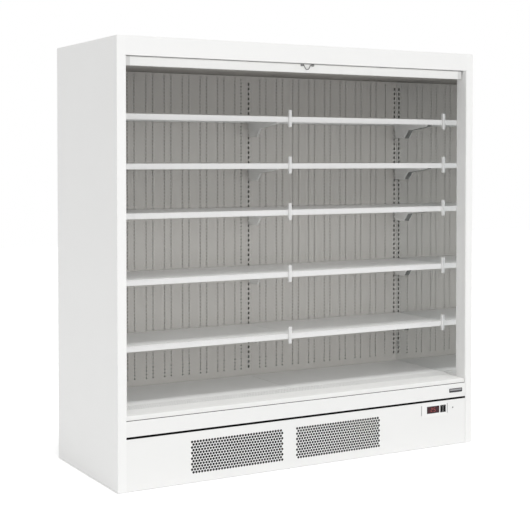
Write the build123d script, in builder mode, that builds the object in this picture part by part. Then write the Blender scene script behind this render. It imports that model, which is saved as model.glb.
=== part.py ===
"""Open multideck display refrigerator, two bays wide, with a pull-down night blind.

Frame: X runs along the width, the open front faces -Y and Z is up. The origin is on the floor
at the centre of the footprint. "Setback" is the distance behind the front plane of the cabinet.
"""

import os
from math import cos, radians, sin

from build123d import *

os.makedirs("parts", exist_ok=True)

# ---------------------------------------------------------------- driving dimensions (mm)
# Width: two shelf bays between two foamed end panels
bay_width = 937.5
end_wall = 40.0

# Depth, from the front plane to the wall behind
shelf_setback = 190.0
shelf_reach = 405.0
duct_depth = 80.0
rear_wall_depth = 60.0

# Heights, stacked up from the floor
floor_gap = 2.0
frame_underside = 30.0
rail_size = 30.0
rail_wall = 2.0
skirt_top = 231.0
shadow_gap = 10.0
bumper_height = 68.0
seam_gap = 1.5
riser_height = 21.5
deck_step = 9.0
tub_space = 101.0
shelf_pitches = [265.0, 300.0, 300.0, 225.0, 225.0]
top_headroom = 205.5
canopy_rise = 13.5
bar_hang = 3.0
bar_height = 41.0
bar_top_gap = 1.5
fascia_height = 84.0

# Sheet metal, foam and clearances
skin = 1.0
sheet = 1.5
insulation = 25.0
seat_gap = 0.3
cover_gap = 0.5
side_clearance = 1.0
pin_clearance = 0.08
corner_radius = 2.0

# Linings of the end walls
trim_thickness = 3.0
trim_start = 2.0
trim_depth = 70.0
mirror_thickness = 4.0

# Rear wall louvres
louvre_length = 70.0
louvre_height = 8.0
louvre_pitch_x = 100.0
louvre_pitch_z = 24.0
louvre_columns = 11
louvre_rows = 4

# Canopy and night blind
roof_thickness = 55.0
cassette_depth = 95.0
cassette_floor_rise = 46.0
fascia_hem = 25.0
liner_setback = 54.0
outlet_setback = 76.0
outlet_depth = 48.0
outlet_side_gap = 8.0
outlet_lap = 4.0
outlet_height = 15.0
outlet_columns = 66
outlet_rows = 3
outlet_rib = 3.0
roller_setback = 62.0
roller_rise = 41.0
tube_radius = 20.0
tube_end_gap = 2.0
wound_radius = 26.0
roller_pin_radius = 5.0
ear_thickness = 3.0
ear_margin = 12.0
blind_cloth = 0.8
blind_side_gap = 20.0
bar_setback = 29.0
bar_depth = 21.0
bar_wall = 1.2
bar_corner = 3.0
bar_end_gap = 9.0
bar_landing_gap = 3.0
handle_centre_x = 0.0
handle_span = 58.0
handle_bottom_span = 14.0
handle_drop = 19.5
handle_straight = 10.0
handle_wire = 3.0
handle_bend = 5.0
handle_setback = 25.5
handle_below_top = 6.0
lug_width = 14.0
lug_height = 8.0

# Shelves
shelf_end_gap = 1.0
shelf_front_lip = 25.0
shelf_rear_lip = 20.0
tray_back_gap = 4.5
bracket_plate = 3.0
bracket_front = 300.0
bracket_front_drop = 31.0
bracket_step_setback = 466.0
bracket_step_drop = 50.0
bracket_heel_setback = 502.0
bracket_heel_drop = 90.0
hook_drop = 21.0
hook_height = 10.0
hook_tongue = 8.0
hook_reach = 9.0
pivot_reach = 5.0
tongue_reach = 7.0
tilt_relief = 12.7
strip_depth = 4.0
strip_height = 26.0
strip_lip = 3.0
strip_recess = 1.2
end_cap_width = 6.0
end_cap_depth = 13.0
end_cap_rise = 33.0
end_cap_drop = 49.0
end_cap_corner = 2.0

# Slotted uprights, flush with the back panels, and the panels' foot
upright_width = 30.0
upright_lip = 10.0
slot_width = 9.0
slot_height = 14.0
slot_pitch = 25.0
panel_foot = 20.0

# Front of the base
ledge_setback = 10.5
ledge_depth = 114.5
ledge_flange = 32.0
grille_depth = 60.5
grille_slot_length = 20.0
grille_slot_width = 6.0
grille_slot_pitch_x = 26.0
grille_slot_pitch_y = 14.0
grille_slot_rows = 3
bumper_setback = 1.5
bumper_wall = 2.0
tub_front_setback = 12.0
tub_front_wall = 34.0
skirt_setback = 2.0
hole_pitch = 14.43
hole_diameter = 10.4
hole_columns = 33
hole_rows = 12
left_field_gap = 318.5
right_field_start = -69.0
field_drop = 45.0
deck_lip = 10.0
deck_ledge = 14.0

# Controls
bezel_right_gap = 117.5
bezel_width = 160.0
bezel_drop = 6.0
bezel_height = 70.0
bezel_plate = 1.6
bezel_corner = 4.0
box_margin = 6.0
box_depth = 58.0
display_offset = 32.5
display_width = 78.0
display_rise = 18.5
display_height = 36.0
display_depth = 3.0
rocker_offsets = [118.0, 136.0]
rocker_width = 13.0
rocker_rise = 20.5
rocker_height = 33.0
rocker_tilt = 8.0
rocker_face = 6.0
rocker_back = 3.0
rocker_back_half = 8.0
rocker_end_gap = 1.4
rocker_pivot_depth = 9.5
rocker_pivot_radius = 2.0
rocker_pivot_reach = 1.5
rocker_well = 16.0
badge_right_gap = 21.5
badge_width = 82.0
badge_rise = 26.0
badge_height = 20.0
badge_plate = 1.2
badge_corner = 3.0
badge_border = 2.0
badge_recess = 0.4

# Fans
fan_plate_setback = 330.0
fan_plate_flange = 20.0
evaporator_fan_x = 470.0
evaporator_hub_radius = 15.0
evaporator_chord = 28.0
condenser_hub_radius = 20.0
condenser_chord = 32.0
fan_rim = 3.0
tip_gap = 3.0
blade_count = 5
blade_pitch = 32.0
blade_thickness = 1.6
hub_length = 18.0
hub_lead = 5.0
shaft_radius = 3.0
shaft_length = 14.0
motor_radius = 18.0
motor_length = 30.0
motor_stand_off = 5.0
strut = 5.0
strut_count = 3

# Coils, compressor, tray and pipes
fin_thickness = 1.2
fin_pitch = 15.0
fin_spine = 4.0
coil_tube_radius = 5.0
coil_row_pitch = 25.0
end_plate = 1.5
evaporator_depth = 60.0
evaporator_height = 190.0
evaporator_end_gap = 95.0
condenser_setback = 42.0
condenser_depth = 55.0
condenser_headroom = 18.5
shroud_collar = 24.0
compressor_x = 180.0
compressor_setback = 420.0
compressor_radius = 72.0
compressor_headroom = 9.5
compressor_round = 30.0
weld_band = 6.0
weld_proud = 2.0
grommet_height = 9.0
grommet_radius = 11.0
grommet_spacing = 120.0
foot_plate = 3.0
foot_plate_size = 150.0
stub_length = 14.0
stub_wall = 1.5
discharge_rise = 60.0
suction_rise = 90.0
tray_x = 560.0
tray_setback = 420.0
tray_length = 260.0
tray_depth = 300.0
tray_height = 45.0
tray_wall = 2.5
drain_radius = 14.0
drain_wall = 2.0
drain_drop = 10.0
discharge_radius = 4.0
liquid_radius = 4.0
suction_radius = 6.0
pipe_wall_gap = 57.5
pipe_clearance = 1.0
pipe_floor_gap = 14.0
pipe_bend = 15.0
liquid_setback = 620.0
suction_setback = 655.0
liquid_joint_rise = 40.0
suction_joint_rise = 150.0

# Feet and mains inlet
foot_pad_radius = 14.0
foot_pad_height = 6.0
foot_stem_radius = 6.0
foot_nut_across = 20.0
foot_nut_height = 8.0
inlet_x = 700.0
inlet_z = 120.0
inlet_width = 48.0
inlet_height = 30.0
inlet_depth = 32.0
socket_width = 24.0
socket_height = 17.0
socket_depth = 18.0
inlet_pin_size = 4.0
inlet_pin_pitch = 7.0

# ---------------------------------------------------------------- values worked out from them
half_width = bay_width + end_wall
depth = shelf_setback + shelf_reach + duct_depth + rear_wall_depth
front = -depth / 2
lining_half = bay_width - mirror_thickness
back_panel = shelf_setback + shelf_reach
rear_wall_setback = back_panel + duct_depth

machine_floor = frame_underside + rail_size + sheet
bumper_bottom = skirt_top + shadow_gap
bumper_top = bumper_bottom + bumper_height
ledge_top = bumper_top + seam_gap + riser_height
deck_top = ledge_top + deck_step
tub_floor = deck_top - tub_space
tub_underside = tub_floor - insulation
machine_bay_height = tub_underside - machine_floor

shelf_tops = [deck_top + sum(shelf_pitches[: level + 1]) for level in range(len(shelf_pitches))]
canopy_front = shelf_tops[-1] + top_headroom
bar_bottom = canopy_front - bar_hang
bar_top = bar_bottom + bar_height
fascia_bottom = bar_top + bar_top_gap
height = fascia_bottom + fascia_height
roof_underside = height - roof_thickness
cassette_floor = canopy_front + cassette_floor_rise
roller_z = cassette_floor + roller_rise
cloth_setback = roller_setback - wound_radius - seat_gap - blind_cloth
blind_travel = bar_bottom - ledge_top - bar_landing_gap

upright_inset = lining_half - cover_gap - upright_width / 2
panel_inner = upright_width / 2 + cover_gap
panel_outer = upright_inset - upright_width / 2 - cover_gap
frame_front = skirt_setback + sheet + seat_gap
frame_back = depth - sheet - seat_gap
hole_row_pitch = hole_pitch * cos(radians(30))
field_width = (hole_columns - 0.5) * hole_pitch
left_field_start = left_field_gap - bay_width
mid_post_x = (left_field_start + field_width + right_field_start) / 2
post_xs = [-bay_width + rail_size, mid_post_x, bay_width - rail_size]

SIDES = [("left", -1), ("right", 1)]


# ---------------------------------------------------------------- helpers
def side_plane(x):
    """A plane across the cabinet at x. Its x is the setback, its y the height; it grows to +X."""
    return Plane(origin=(x, front, 0), x_dir=(0, 1, 0), z_dir=(1, 0, 0))


def front_plane(setback):
    """A plane facing the shopper. Its x is along the width and its y is the height."""
    return Plane(origin=(0, front + setback, 0), x_dir=(1, 0, 0), z_dir=(0, -1, 0))


def level_plane(z):
    """A level plane. Its x is along the width and its y is the setback."""
    return Plane(origin=(0, front, z), x_dir=(1, 0, 0), z_dir=(0, 0, 1))


def area(low_x, high_x, low_y, high_y, mode=Mode.ADD):
    """A rectangle of the sketch between two corners."""
    with Locations(((low_x + high_x) / 2, (low_y + high_y) / 2)):
        Rectangle(high_x - low_x, high_y - low_y, mode=mode)


def folded_sheet(points, thickness=sheet):
    """Section of a folded sheet: the points are its outer face, the metal lies on their left."""
    with BuildLine() as outline:
        Polyline(*points)
        offset(amount=thickness, side=Side.LEFT)
    make_face(outline.edges())


def square_tube(centre_x, centre_y):
    """Section of a hollow square rail."""
    with Locations((centre_x, centre_y)):
        Rectangle(rail_size, rail_size)
        Rectangle(rail_size - 2 * rail_wall, rail_size - 2 * rail_wall, mode=Mode.SUBTRACT)


def foamed_panel(low_x, high_x, corners):
    """Steel skin round a foam core, with a section of those corners, from low_x to high_x."""
    with BuildSketch(side_plane(low_x)) as outside:
        Polygon(*corners, align=None)
    extrude(outside.sketch, amount=high_x - low_x)
    with BuildSketch(side_plane(low_x + skin)) as foam:
        Polygon(*corners, align=None)
        offset(amount=-skin, kind=Kind.INTERSECTION, mode=Mode.REPLACE)
    extrude(foam.sketch, amount=high_x - low_x - 2 * skin, mode=Mode.SUBTRACT)


def from_centre(side, near, far):
    """Low and high X of a stretch measured out from the centre joint, on side -1 or +1."""
    return (near, far) if side > 0 else (-far, -near)


def canopy_height(setback):
    """Height of the canopy's underside at a setback."""
    return canopy_front + canopy_rise * (setback - liner_setback) / (back_panel - liner_setback)


def write(builder, node):
    """Labels a finished piece and writes its file."""
    builder.part.label = node
    export_step(builder.part, f"parts/{node}.step")


# ---------------------------------------------------------------- shell
for name, side in SIDES:
    low_x, high_x = from_centre(side, bay_width, half_width)
    with BuildPart() as end_panel:
        foamed_panel(low_x, high_x, [(0, floor_gap), (depth, floor_gap), (depth, height), (0, height)])
        outer_face = end_panel.faces().sort_by(Axis.X)[0 if side < 0 else -1]
        fillet(outer_face.edges(), radius=corner_radius)
    write(end_panel, f"{name}_end_panel")

with BuildPart() as rear_wall:
    foamed_panel(
        -bay_width,
        bay_width,
        [
            (rear_wall_setback, tub_underside),
            (depth, tub_underside),
            (depth, roof_underside),
            (rear_wall_setback, roof_underside),
        ],
    )
    # the outer skin runs on down over the machine bay, with louvres and the mains inlet's window
    with BuildSketch(front_plane(depth)):
        area(-bay_width, bay_width, floor_gap, tub_underside)
        with Locations((0, machine_floor + machine_bay_height / 2)):
            with GridLocations(louvre_pitch_x, louvre_pitch_z, louvre_columns, louvre_rows):
                SlotOverall(louvre_length, louvre_height, mode=Mode.SUBTRACT)
        with Locations((inlet_x, inlet_z)):
            Rectangle(inlet_width + 2 * cover_gap, inlet_height + 2 * cover_gap, mode=Mode.SUBTRACT)
    extrude(amount=sheet)
write(rear_wall, "rear_wall")

with BuildPart() as roof_panel:
    foamed_panel(
        -bay_width,
        bay_width,
        [
            (cassette_depth, roof_underside),
            (depth, roof_underside),
            (depth, height),
            (cassette_depth, height),
        ],
    )
write(roof_panel, "roof_panel")

with BuildPart() as top_fascia:
    with BuildSketch(side_plane(-bay_width)):
        folded_sheet(
            [(cassette_depth, height), (0, height), (0, fascia_bottom), (fascia_hem, fascia_bottom)]
        )
    extrude(amount=2 * bay_width)
write(top_fascia, "top_fascia")

with BuildPart() as edge_trims:
    for name, side in SIDES:
        low_x, high_x = from_centre(side, bay_width - trim_thickness, bay_width)
        with BuildSketch(side_plane(low_x)):
            # above the canopy's edge the trim goes on in front of the liner, beside the pull bar
            Polygon(
                (trim_start, ledge_top + cover_gap),
                (trim_start + trim_depth, ledge_top + cover_gap),
                (trim_start + trim_depth, canopy_front - cover_gap),
                (liner_setback - cover_gap, canopy_front - cover_gap),
                (liner_setback - cover_gap, fascia_bottom - cover_gap),
                (trim_start, fascia_bottom - cover_gap),
                align=None,
            )
        extrude(amount=trim_thickness)
write(edge_trims, "front_edge_trims")

mirror_front = trim_start + trim_depth + cover_gap
mirror_back = back_panel - cover_gap
with BuildPart() as mirrors:
    for name, side in SIDES:
        low_x, high_x = from_centre(side, lining_half, bay_width)
        with BuildSketch(side_plane(low_x)):
            Polygon(
                (mirror_front, deck_top + 2 * cover_gap),
                (mirror_back, deck_top + 2 * cover_gap),
                (mirror_back, canopy_height(mirror_back) - cover_gap),
                (mirror_front, canopy_height(mirror_front) - cover_gap),
                align=None,
            )
        extrude(amount=mirror_thickness)
write(mirrors, "end_wall_mirrors")

# ---------------------------------------------------------------- canopy
outlet_half = bay_width - outlet_side_gap
ear_outer = bay_width - side_clearance
ear_half = roller_pin_radius + ear_margin
with BuildPart() as canopy_liner:
    with BuildSketch(side_plane(-bay_width + cover_gap)):
        folded_sheet(
            [
                (cassette_depth, roof_underside),
                (cassette_depth, cassette_floor),
                (liner_setback, cassette_floor),
                (liner_setback, canopy_front),
                (mirror_back, canopy_height(mirror_back)),
            ]
        )
    extrude(amount=2 * (bay_width - cover_gap))
    with BuildSketch(level_plane(canopy_front - sheet)):
        area(-outlet_half, outlet_half, outlet_setback, outlet_setback + outlet_depth)
    extrude(amount=canopy_rise, mode=Mode.SUBTRACT)
    # ears that carry the pins of the blind's roller
    for name, side in SIDES:
        low_x, high_x = from_centre(side, ear_outer - ear_thickness, ear_outer)
        with BuildSketch(side_plane(low_x)):
            Polygon(
                (liner_setback, cassette_floor - sheet),
                (roller_setback + ear_half, cassette_floor - sheet),
                (roller_setback + ear_half, roller_z + ear_half),
                (roller_setback - ear_half, roller_z + ear_half),
                (roller_setback - ear_half, roller_z - ear_half),
                align=None,
            )
            with Locations((roller_setback, roller_z)):
                Circle(roller_pin_radius + pin_clearance, mode=Mode.SUBTRACT)
        extrude(amount=ear_thickness)
write(canopy_liner, "canopy_liner")

outlet_bottom = canopy_height(outlet_setback + outlet_depth + outlet_lap) + sheet + seat_gap
cell_x = 2 * outlet_half / outlet_columns
cell_y = outlet_depth / outlet_rows
with BuildPart() as air_outlet:
    with BuildSketch(level_plane(outlet_bottom)):
        area(
            -outlet_half - outlet_lap,
            outlet_half + outlet_lap,
            outlet_setback - outlet_lap,
            outlet_setback + outlet_depth + outlet_lap,
        )
        with Locations((0, outlet_setback + outlet_depth / 2)):
            with GridLocations(cell_x, cell_y, outlet_columns, outlet_rows):
                Rectangle(cell_x - outlet_rib, cell_y - outlet_rib, mode=Mode.SUBTRACT)
    extrude(amount=outlet_height)
write(air_outlet, "air_outlet_grille")

# ---------------------------------------------------------------- back wall of the shelf space
flange_bottom = deck_top - 2 * sheet - seat_gap
with BuildPart() as duct_panels:
    for name, side in SIDES:
        low_x, high_x = from_centre(side, panel_inner, panel_outer)
        with BuildSketch(side_plane(low_x)):
            folded_sheet(
                [
                    (back_panel - panel_foot, flange_bottom),
                    (back_panel + sheet, flange_bottom),
                    (back_panel + sheet, canopy_height(back_panel) - cover_gap),
                ]
            )
        extrude(amount=high_x - low_x)
write(duct_panels, "rear_duct_panels")

upright_low = flange_bottom
upright_high = canopy_height(back_panel) - cover_gap
upright_back = rear_wall_setback - cover_gap
slot_anchor = shelf_tops[0] - hook_drop
slots_below = int((slot_anchor - upright_low - slot_pitch) / slot_pitch)
slots_above = int((upright_high - slot_anchor - slot_pitch) / slot_pitch)
slot_middle = slot_anchor + (slots_above - slots_below) * slot_pitch / 2
with BuildPart() as uprights:
    for centre_x in (-upright_inset, 0, upright_inset):
        low_x, high_x = centre_x - upright_width / 2, centre_x + upright_width / 2
        with BuildSketch(level_plane(upright_low)):
            folded_sheet(
                [
                    (low_x, upright_back),
                    (low_x, back_panel),
                    (high_x, back_panel),
                    (high_x, upright_back),
                ]
            )
        extrude(amount=upright_high - upright_low)
        # its sides are cut back at the foot, where it stands before the evaporator coil
        with BuildSketch(level_plane(upright_low)):
            area(low_x, high_x, back_panel + upright_lip, upright_back)
        extrude(amount=tub_floor + evaporator_height + upright_lip - upright_low, mode=Mode.SUBTRACT)
        with BuildSketch(front_plane(back_panel)):
            with Locations((centre_x, slot_middle)):
                with GridLocations(slot_width, slot_pitch, 1, slots_below + slots_above + 1):
                    Rectangle(slot_width, slot_height)
        extrude(amount=-2 * sheet, mode=Mode.SUBTRACT)
write(uprights, "shelf_uprights")

# ---------------------------------------------------------------- shelves
shelf_outer = lining_half - shelf_end_gap
tray_back = back_panel - tray_back_gap


def bracket(low_x, top):
    """A shelf bracket: its upper hook and lower tongue hang in the slots of an upright."""
    hook_z = top - hook_drop
    heel = back_panel - seat_gap
    pivot = back_panel + pivot_reach
    behind_web = back_panel + sheet + seat_gap
    with BuildSketch(side_plane(low_x)) as plate:
        Polygon(
            (bracket_front, top - sheet),
            (tray_back, top - sheet),
            (heel, hook_z),
            (heel - tilt_relief, top - bracket_heel_drop),
            (bracket_heel_setback, top - bracket_heel_drop),
            (bracket_step_setback, top - bracket_step_drop),
            (bracket_front, top - bracket_front_drop),
            align=None,
        )
        hook_low, hook_high = hook_z - hook_height / 2, hook_z + hook_height / 2
        area(heel - hook_reach, pivot, hook_low, hook_high)
        area(behind_web, pivot + hook_height / 2, hook_low - hook_tongue, hook_z)
        with Locations((pivot, hook_z)):
            Circle(hook_height / 2)
        tongue_z = hook_z - 2 * slot_pitch
        tongue_low, tongue_high = tongue_z - hook_tongue / 2, tongue_z + hook_tongue / 2
        area(heel - 2 * hook_reach, heel + tongue_reach, tongue_low, tongue_high)
    extrude(plate.sketch, amount=bracket_plate)


def shelf(side, top):
    """Folded tray with a bracket welded under each end."""
    low_x, high_x = from_centre(side, shelf_end_gap, shelf_outer)
    with BuildPart() as made:
        with BuildSketch(side_plane(low_x)):
            folded_sheet(
                [
                    (tray_back, top - shelf_rear_lip),
                    (tray_back, top),
                    (shelf_setback, top),
                    (shelf_setback, top - shelf_front_lip),
                ]
            )
        extrude(amount=high_x - low_x)
        for near in (shelf_end_gap, upright_inset - bracket_plate / 2):
            bracket(from_centre(side, near, near + bracket_plate)[0], top)
    return made


def ticket_strip(side, top):
    """Label strip along a shelf's front edge, with an upright cap at each end."""
    low_x, high_x = from_centre(side, shelf_end_gap, shelf_outer)
    strip_front = shelf_setback - strip_depth
    with BuildPart() as made:
        with BuildSketch(side_plane(low_x)):
            area(strip_front, shelf_setback, top - strip_height, top)
            area(
                strip_front,
                strip_front + strip_recess,
                top - strip_height + strip_lip,
                top - strip_lip,
                mode=Mode.SUBTRACT,
            )
        extrude(amount=high_x - low_x)
        for near in (cover_gap, shelf_outer - end_cap_width):
            cap_low = from_centre(side, near, near + end_cap_width)[0]
            cap_height = end_cap_rise + end_cap_drop
            cap_centre = (shelf_setback - end_cap_depth / 2, top + (end_cap_rise - end_cap_drop) / 2)
            with BuildSketch(side_plane(cap_low)):
                with Locations(cap_centre):
                    RectangleRounded(end_cap_depth, cap_height, end_cap_corner)
            extrude(amount=end_cap_width)
    return made


for name, side in SIDES:
    for level, top in enumerate(shelf_tops, start=1):
        write(shelf(side, top), f"shelf_{level}_{name}")
        write(ticket_strip(side, top), f"ticket_strip_{level}_{name}")

# ---------------------------------------------------------------- night blind
tube_half = ear_outer - ear_thickness - tube_end_gap
cloth_half = bay_width - blind_side_gap
with BuildPart() as blind_roller:
    with BuildSketch(side_plane(-cloth_half)):
        with Locations((roller_setback, roller_z)):
            Circle(wound_radius)
    extrude(amount=2 * cloth_half)
    with BuildSketch(side_plane(-tube_half)):
        with Locations((roller_setback, roller_z)):
            Circle(tube_radius)
    extrude(amount=2 * tube_half)
    with BuildSketch(side_plane(-ear_outer)):
        with Locations((roller_setback, roller_z)):
            Circle(roller_pin_radius)
    extrude(amount=2 * ear_outer)
write(blind_roller, "blind_roller")

with BuildPart() as blind_sheet:
    with BuildSketch(side_plane(-cloth_half)):
        area(cloth_setback, cloth_setback + blind_cloth, bar_top, roller_z)
    extrude(amount=2 * cloth_half)
write(blind_sheet, "blind_sheet")

bar_half = bay_width - trim_thickness - bar_end_gap
bar_middle = (bar_setback + bar_depth / 2, bar_bottom + bar_height / 2)
handle_z = bar_top - handle_below_top
lug_xs = [handle_centre_x - handle_span / 2, handle_centre_x + handle_span / 2]
with BuildPart() as pull_bar:
    with BuildSketch(side_plane(-bar_half)):
        with Locations(bar_middle):
            RectangleRounded(bar_depth, bar_height, bar_corner)
            Rectangle(bar_depth - 2 * bar_wall, bar_height - 2 * bar_wall, mode=Mode.SUBTRACT)
    extrude(amount=2 * bar_half)
    # lugs that hold the ends of the wire handle
    for lug_x in lug_xs:
        with BuildSketch(side_plane(lug_x - lug_width / 2)):
            area(
                handle_setback - lug_height / 2,
                bar_setback + bar_wall / 2,
                handle_z - lug_height / 2,
                handle_z + lug_height / 2,
            )
            with Locations((handle_setback, handle_z)):
                Circle(handle_wire / 2 + pin_clearance, mode=Mode.SUBTRACT)
        extrude(amount=lug_width)
write(pull_bar, "blind_pull_bar")

handle_y = front + handle_setback
with BuildPart() as handle:
    with BuildLine() as wire:
        FilletPolyline(
            (lug_xs[0] - lug_width / 2, handle_y, handle_z),
            (lug_xs[0] + handle_straight, handle_y, handle_z),
            (handle_centre_x - handle_bottom_span / 2, handle_y, handle_z - handle_drop),
            (handle_centre_x + handle_bottom_span / 2, handle_y, handle_z - handle_drop),
            (lug_xs[1] - handle_straight, handle_y, handle_z),
            (lug_xs[1] + lug_width / 2, handle_y, handle_z),
            radius=handle_bend,
        )
    with BuildSketch(Plane(origin=wire.line @ 0, z_dir=(1, 0, 0))):
        Circle(handle_wire / 2)
    sweep(path=wire.line)
write(handle, "blind_handle")

# ---------------------------------------------------------------- base structure
rear_rail_y = frame_back - rail_size / 2
front_rail_y = frame_front + rail_size / 2
frame_half = bay_width - side_clearance
with BuildPart() as base_frame:
    with BuildSketch(side_plane(-frame_half)):
        square_tube(front_rail_y, frame_underside + rail_size / 2)
        square_tube(rear_rail_y, frame_underside + rail_size / 2)
    extrude(amount=2 * frame_half)
    with BuildSketch(front_plane(frame_front + rail_size)):
        for post_x in post_xs:
            square_tube(post_x, frame_underside + rail_size / 2)
            square_tube(post_x, tub_underside - rail_size / 2)
    extrude(amount=-(rear_rail_y - front_rail_y - rail_size))
    with BuildSketch(level_plane(machine_floor - sheet)):
        area(-frame_half, frame_half, frame_front, frame_back)
    extrude(amount=sheet)
    with BuildSketch(level_plane(machine_floor)):
        for post_x in post_xs:
            square_tube(post_x, front_rail_y)
            square_tube(post_x, rear_rail_y)
    extrude(amount=machine_bay_height)
write(base_frame, "base_frame")

with BuildPart() as feet:
    for post_x in post_xs:
        for rail_y in (front_rail_y, rear_rail_y):
            with BuildSketch(level_plane(0)):
                with Locations((post_x, rail_y)):
                    Circle(foot_pad_radius)
            extrude(amount=foot_pad_height)
            with BuildSketch(level_plane(foot_pad_height)):
                with Locations((post_x, rail_y)):
                    Circle(foot_stem_radius)
            extrude(amount=frame_underside - foot_pad_height)
            with BuildSketch(level_plane(frame_underside - foot_nut_height)):
                with Locations((post_x, rail_y)):
                    RegularPolygon(foot_nut_across / 2, 6, major_radius=False)
            extrude(amount=foot_nut_height)
write(feet, "levelling_feet")

tub_back = rear_wall_setback
pipe_x = bay_width - pipe_wall_gap
sleeves = [
    (tray_x, tray_setback, drain_radius, machine_floor + tray_height + drain_drop),
    (pipe_x, liquid_setback, liquid_radius + pipe_clearance, tub_underside),
    (pipe_x, suction_setback, suction_radius + pipe_clearance, tub_underside),
]
with BuildPart() as tub:
    foamed_panel(
        -bay_width,
        bay_width,
        [
            (tub_front_setback, tub_underside),
            (tub_back, tub_underside),
            (tub_back, tub_floor),
            (tub_front_setback + tub_front_wall, tub_floor),
            (tub_front_setback + tub_front_wall, ledge_top - sheet),
            (tub_front_setback, ledge_top - sheet),
        ],
    )
    # the drain spout and the sleeves that the two refrigerant pipes rise through
    for sleeve_x, sleeve_y, sleeve_radius, sleeve_low in sleeves:
        with BuildSketch(level_plane(sleeve_low)):
            with Locations((sleeve_x, sleeve_y)):
                Circle(sleeve_radius + drain_wall)
        extrude(amount=tub_floor - sleeve_low)
        with BuildSketch(level_plane(sleeve_low)):
            with Locations((sleeve_x, sleeve_y)):
                Circle(sleeve_radius)
        extrude(amount=tub_floor - sleeve_low, mode=Mode.SUBTRACT)
write(tub, "insulated_tub")

# ---------------------------------------------------------------- front of the base
ledge_back = ledge_setback + ledge_depth
with BuildPart() as ledge:
    with BuildSketch(side_plane(-bay_width)):
        folded_sheet(
            [
                (ledge_back, ledge_top - ledge_flange),
                (ledge_back, ledge_top),
                (ledge_setback, ledge_top),
                (ledge_setback, bumper_top + seam_gap),
            ]
        )
    extrude(amount=2 * bay_width)
write(ledge, "front_ledge")

# its rear edge is folded back into a ledge that carries the base decks
grille_back = ledge_back + grille_depth
grille_half = bay_width - side_clearance
deck_seat = deck_top - deck_lip - seat_gap
grille_slots = int(2 * grille_half / grille_slot_pitch_x) - 1
with BuildPart() as return_grille:
    with BuildSketch(side_plane(-grille_half)):
        folded_sheet(
            [
                (grille_back + deck_ledge, deck_seat),
                (grille_back, deck_seat),
                (grille_back, deck_top),
                (ledge_back, ledge_top),
                (ledge_back, ledge_top - ledge_flange),
            ]
        )
    extrude(amount=2 * grille_half)
    with BuildSketch(level_plane(ledge_top - 3 * sheet)):
        with Locations((0, ledge_back + grille_depth / 2)):
            with GridLocations(
                grille_slot_pitch_x, grille_slot_pitch_y, grille_slots, grille_slot_rows
            ):
                SlotOverall(grille_slot_length, grille_slot_width)
    extrude(amount=deck_step + 4 * sheet, mode=Mode.SUBTRACT)
write(return_grille, "return_air_grille")

with BuildPart() as bumper:
    with BuildSketch(side_plane(-bay_width + cover_gap)):
        folded_sheet(
            [
                (tub_front_setback, bumper_top),
                (bumper_setback, bumper_top),
                (bumper_setback, bumper_bottom),
                (tub_front_setback, bumper_bottom),
            ],
            thickness=bumper_wall,
        )
    extrude(amount=2 * (bay_width - cover_gap))
    front_edges = bumper.edges().filter_by(Axis.X).group_by(Axis.Y)[0]
    fillet(front_edges, radius=bumper_wall)
write(bumper, "front_bumper")

badge_x = bay_width - badge_right_gap - badge_width / 2
with BuildPart() as badge:
    with BuildSketch(front_plane(bumper_setback)):
        with Locations((badge_x, bumper_bottom + badge_rise + badge_height / 2)):
            RectangleRounded(badge_width, badge_height, badge_corner)
    extrude(amount=badge_plate)
    with BuildSketch(front_plane(bumper_setback - badge_plate)):
        with Locations((badge_x, bumper_bottom + badge_rise + badge_height / 2)):
            RectangleRounded(
                badge_width - 2 * badge_border,
                badge_height - 2 * badge_border,
                badge_corner - badge_border / 2,
            )
    extrude(amount=-badge_recess, mode=Mode.SUBTRACT)
write(badge, "name_plate")

bezel_left = bay_width - bezel_right_gap - bezel_width
bezel_bottom = skirt_top - bezel_drop - bezel_height
bezel_front = skirt_setback - bezel_plate
box_left, box_right = bezel_left + box_margin, bezel_left + bezel_width - box_margin
box_low, box_high = bezel_bottom + box_margin / 2, bezel_bottom + bezel_height - box_margin / 2
skirt_half = bay_width - cover_gap
skirt_inner = tub_front_setback - seat_gap
with BuildPart() as skirt:
    with BuildSketch(side_plane(-skirt_half)):
        folded_sheet(
            [
                (skirt_inner, skirt_top),
                (skirt_setback, skirt_top),
                (skirt_setback, floor_gap),
            ]
        )
    extrude(amount=2 * skirt_half)
    # two fields of staggered holes, and the window of the controls
    with BuildSketch(front_plane(skirt_setback)):
        for field_start in (left_field_start, right_field_start):
            for row in range(hole_rows):
                row_start = field_start + (row % 2) * hole_pitch / 2
                row_middle = row_start + (hole_columns - 1) * hole_pitch / 2
                with Locations((row_middle, skirt_top - field_drop - row * hole_row_pitch)):
                    with GridLocations(hole_pitch, hole_pitch, hole_columns, 1):
                        Circle(hole_diameter / 2)
        area(box_left - cover_gap, box_right + cover_gap, box_low - cover_gap, box_high + cover_gap)
    extrude(amount=-sheet, mode=Mode.SUBTRACT)
write(skirt, "lower_front_panel")

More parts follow.
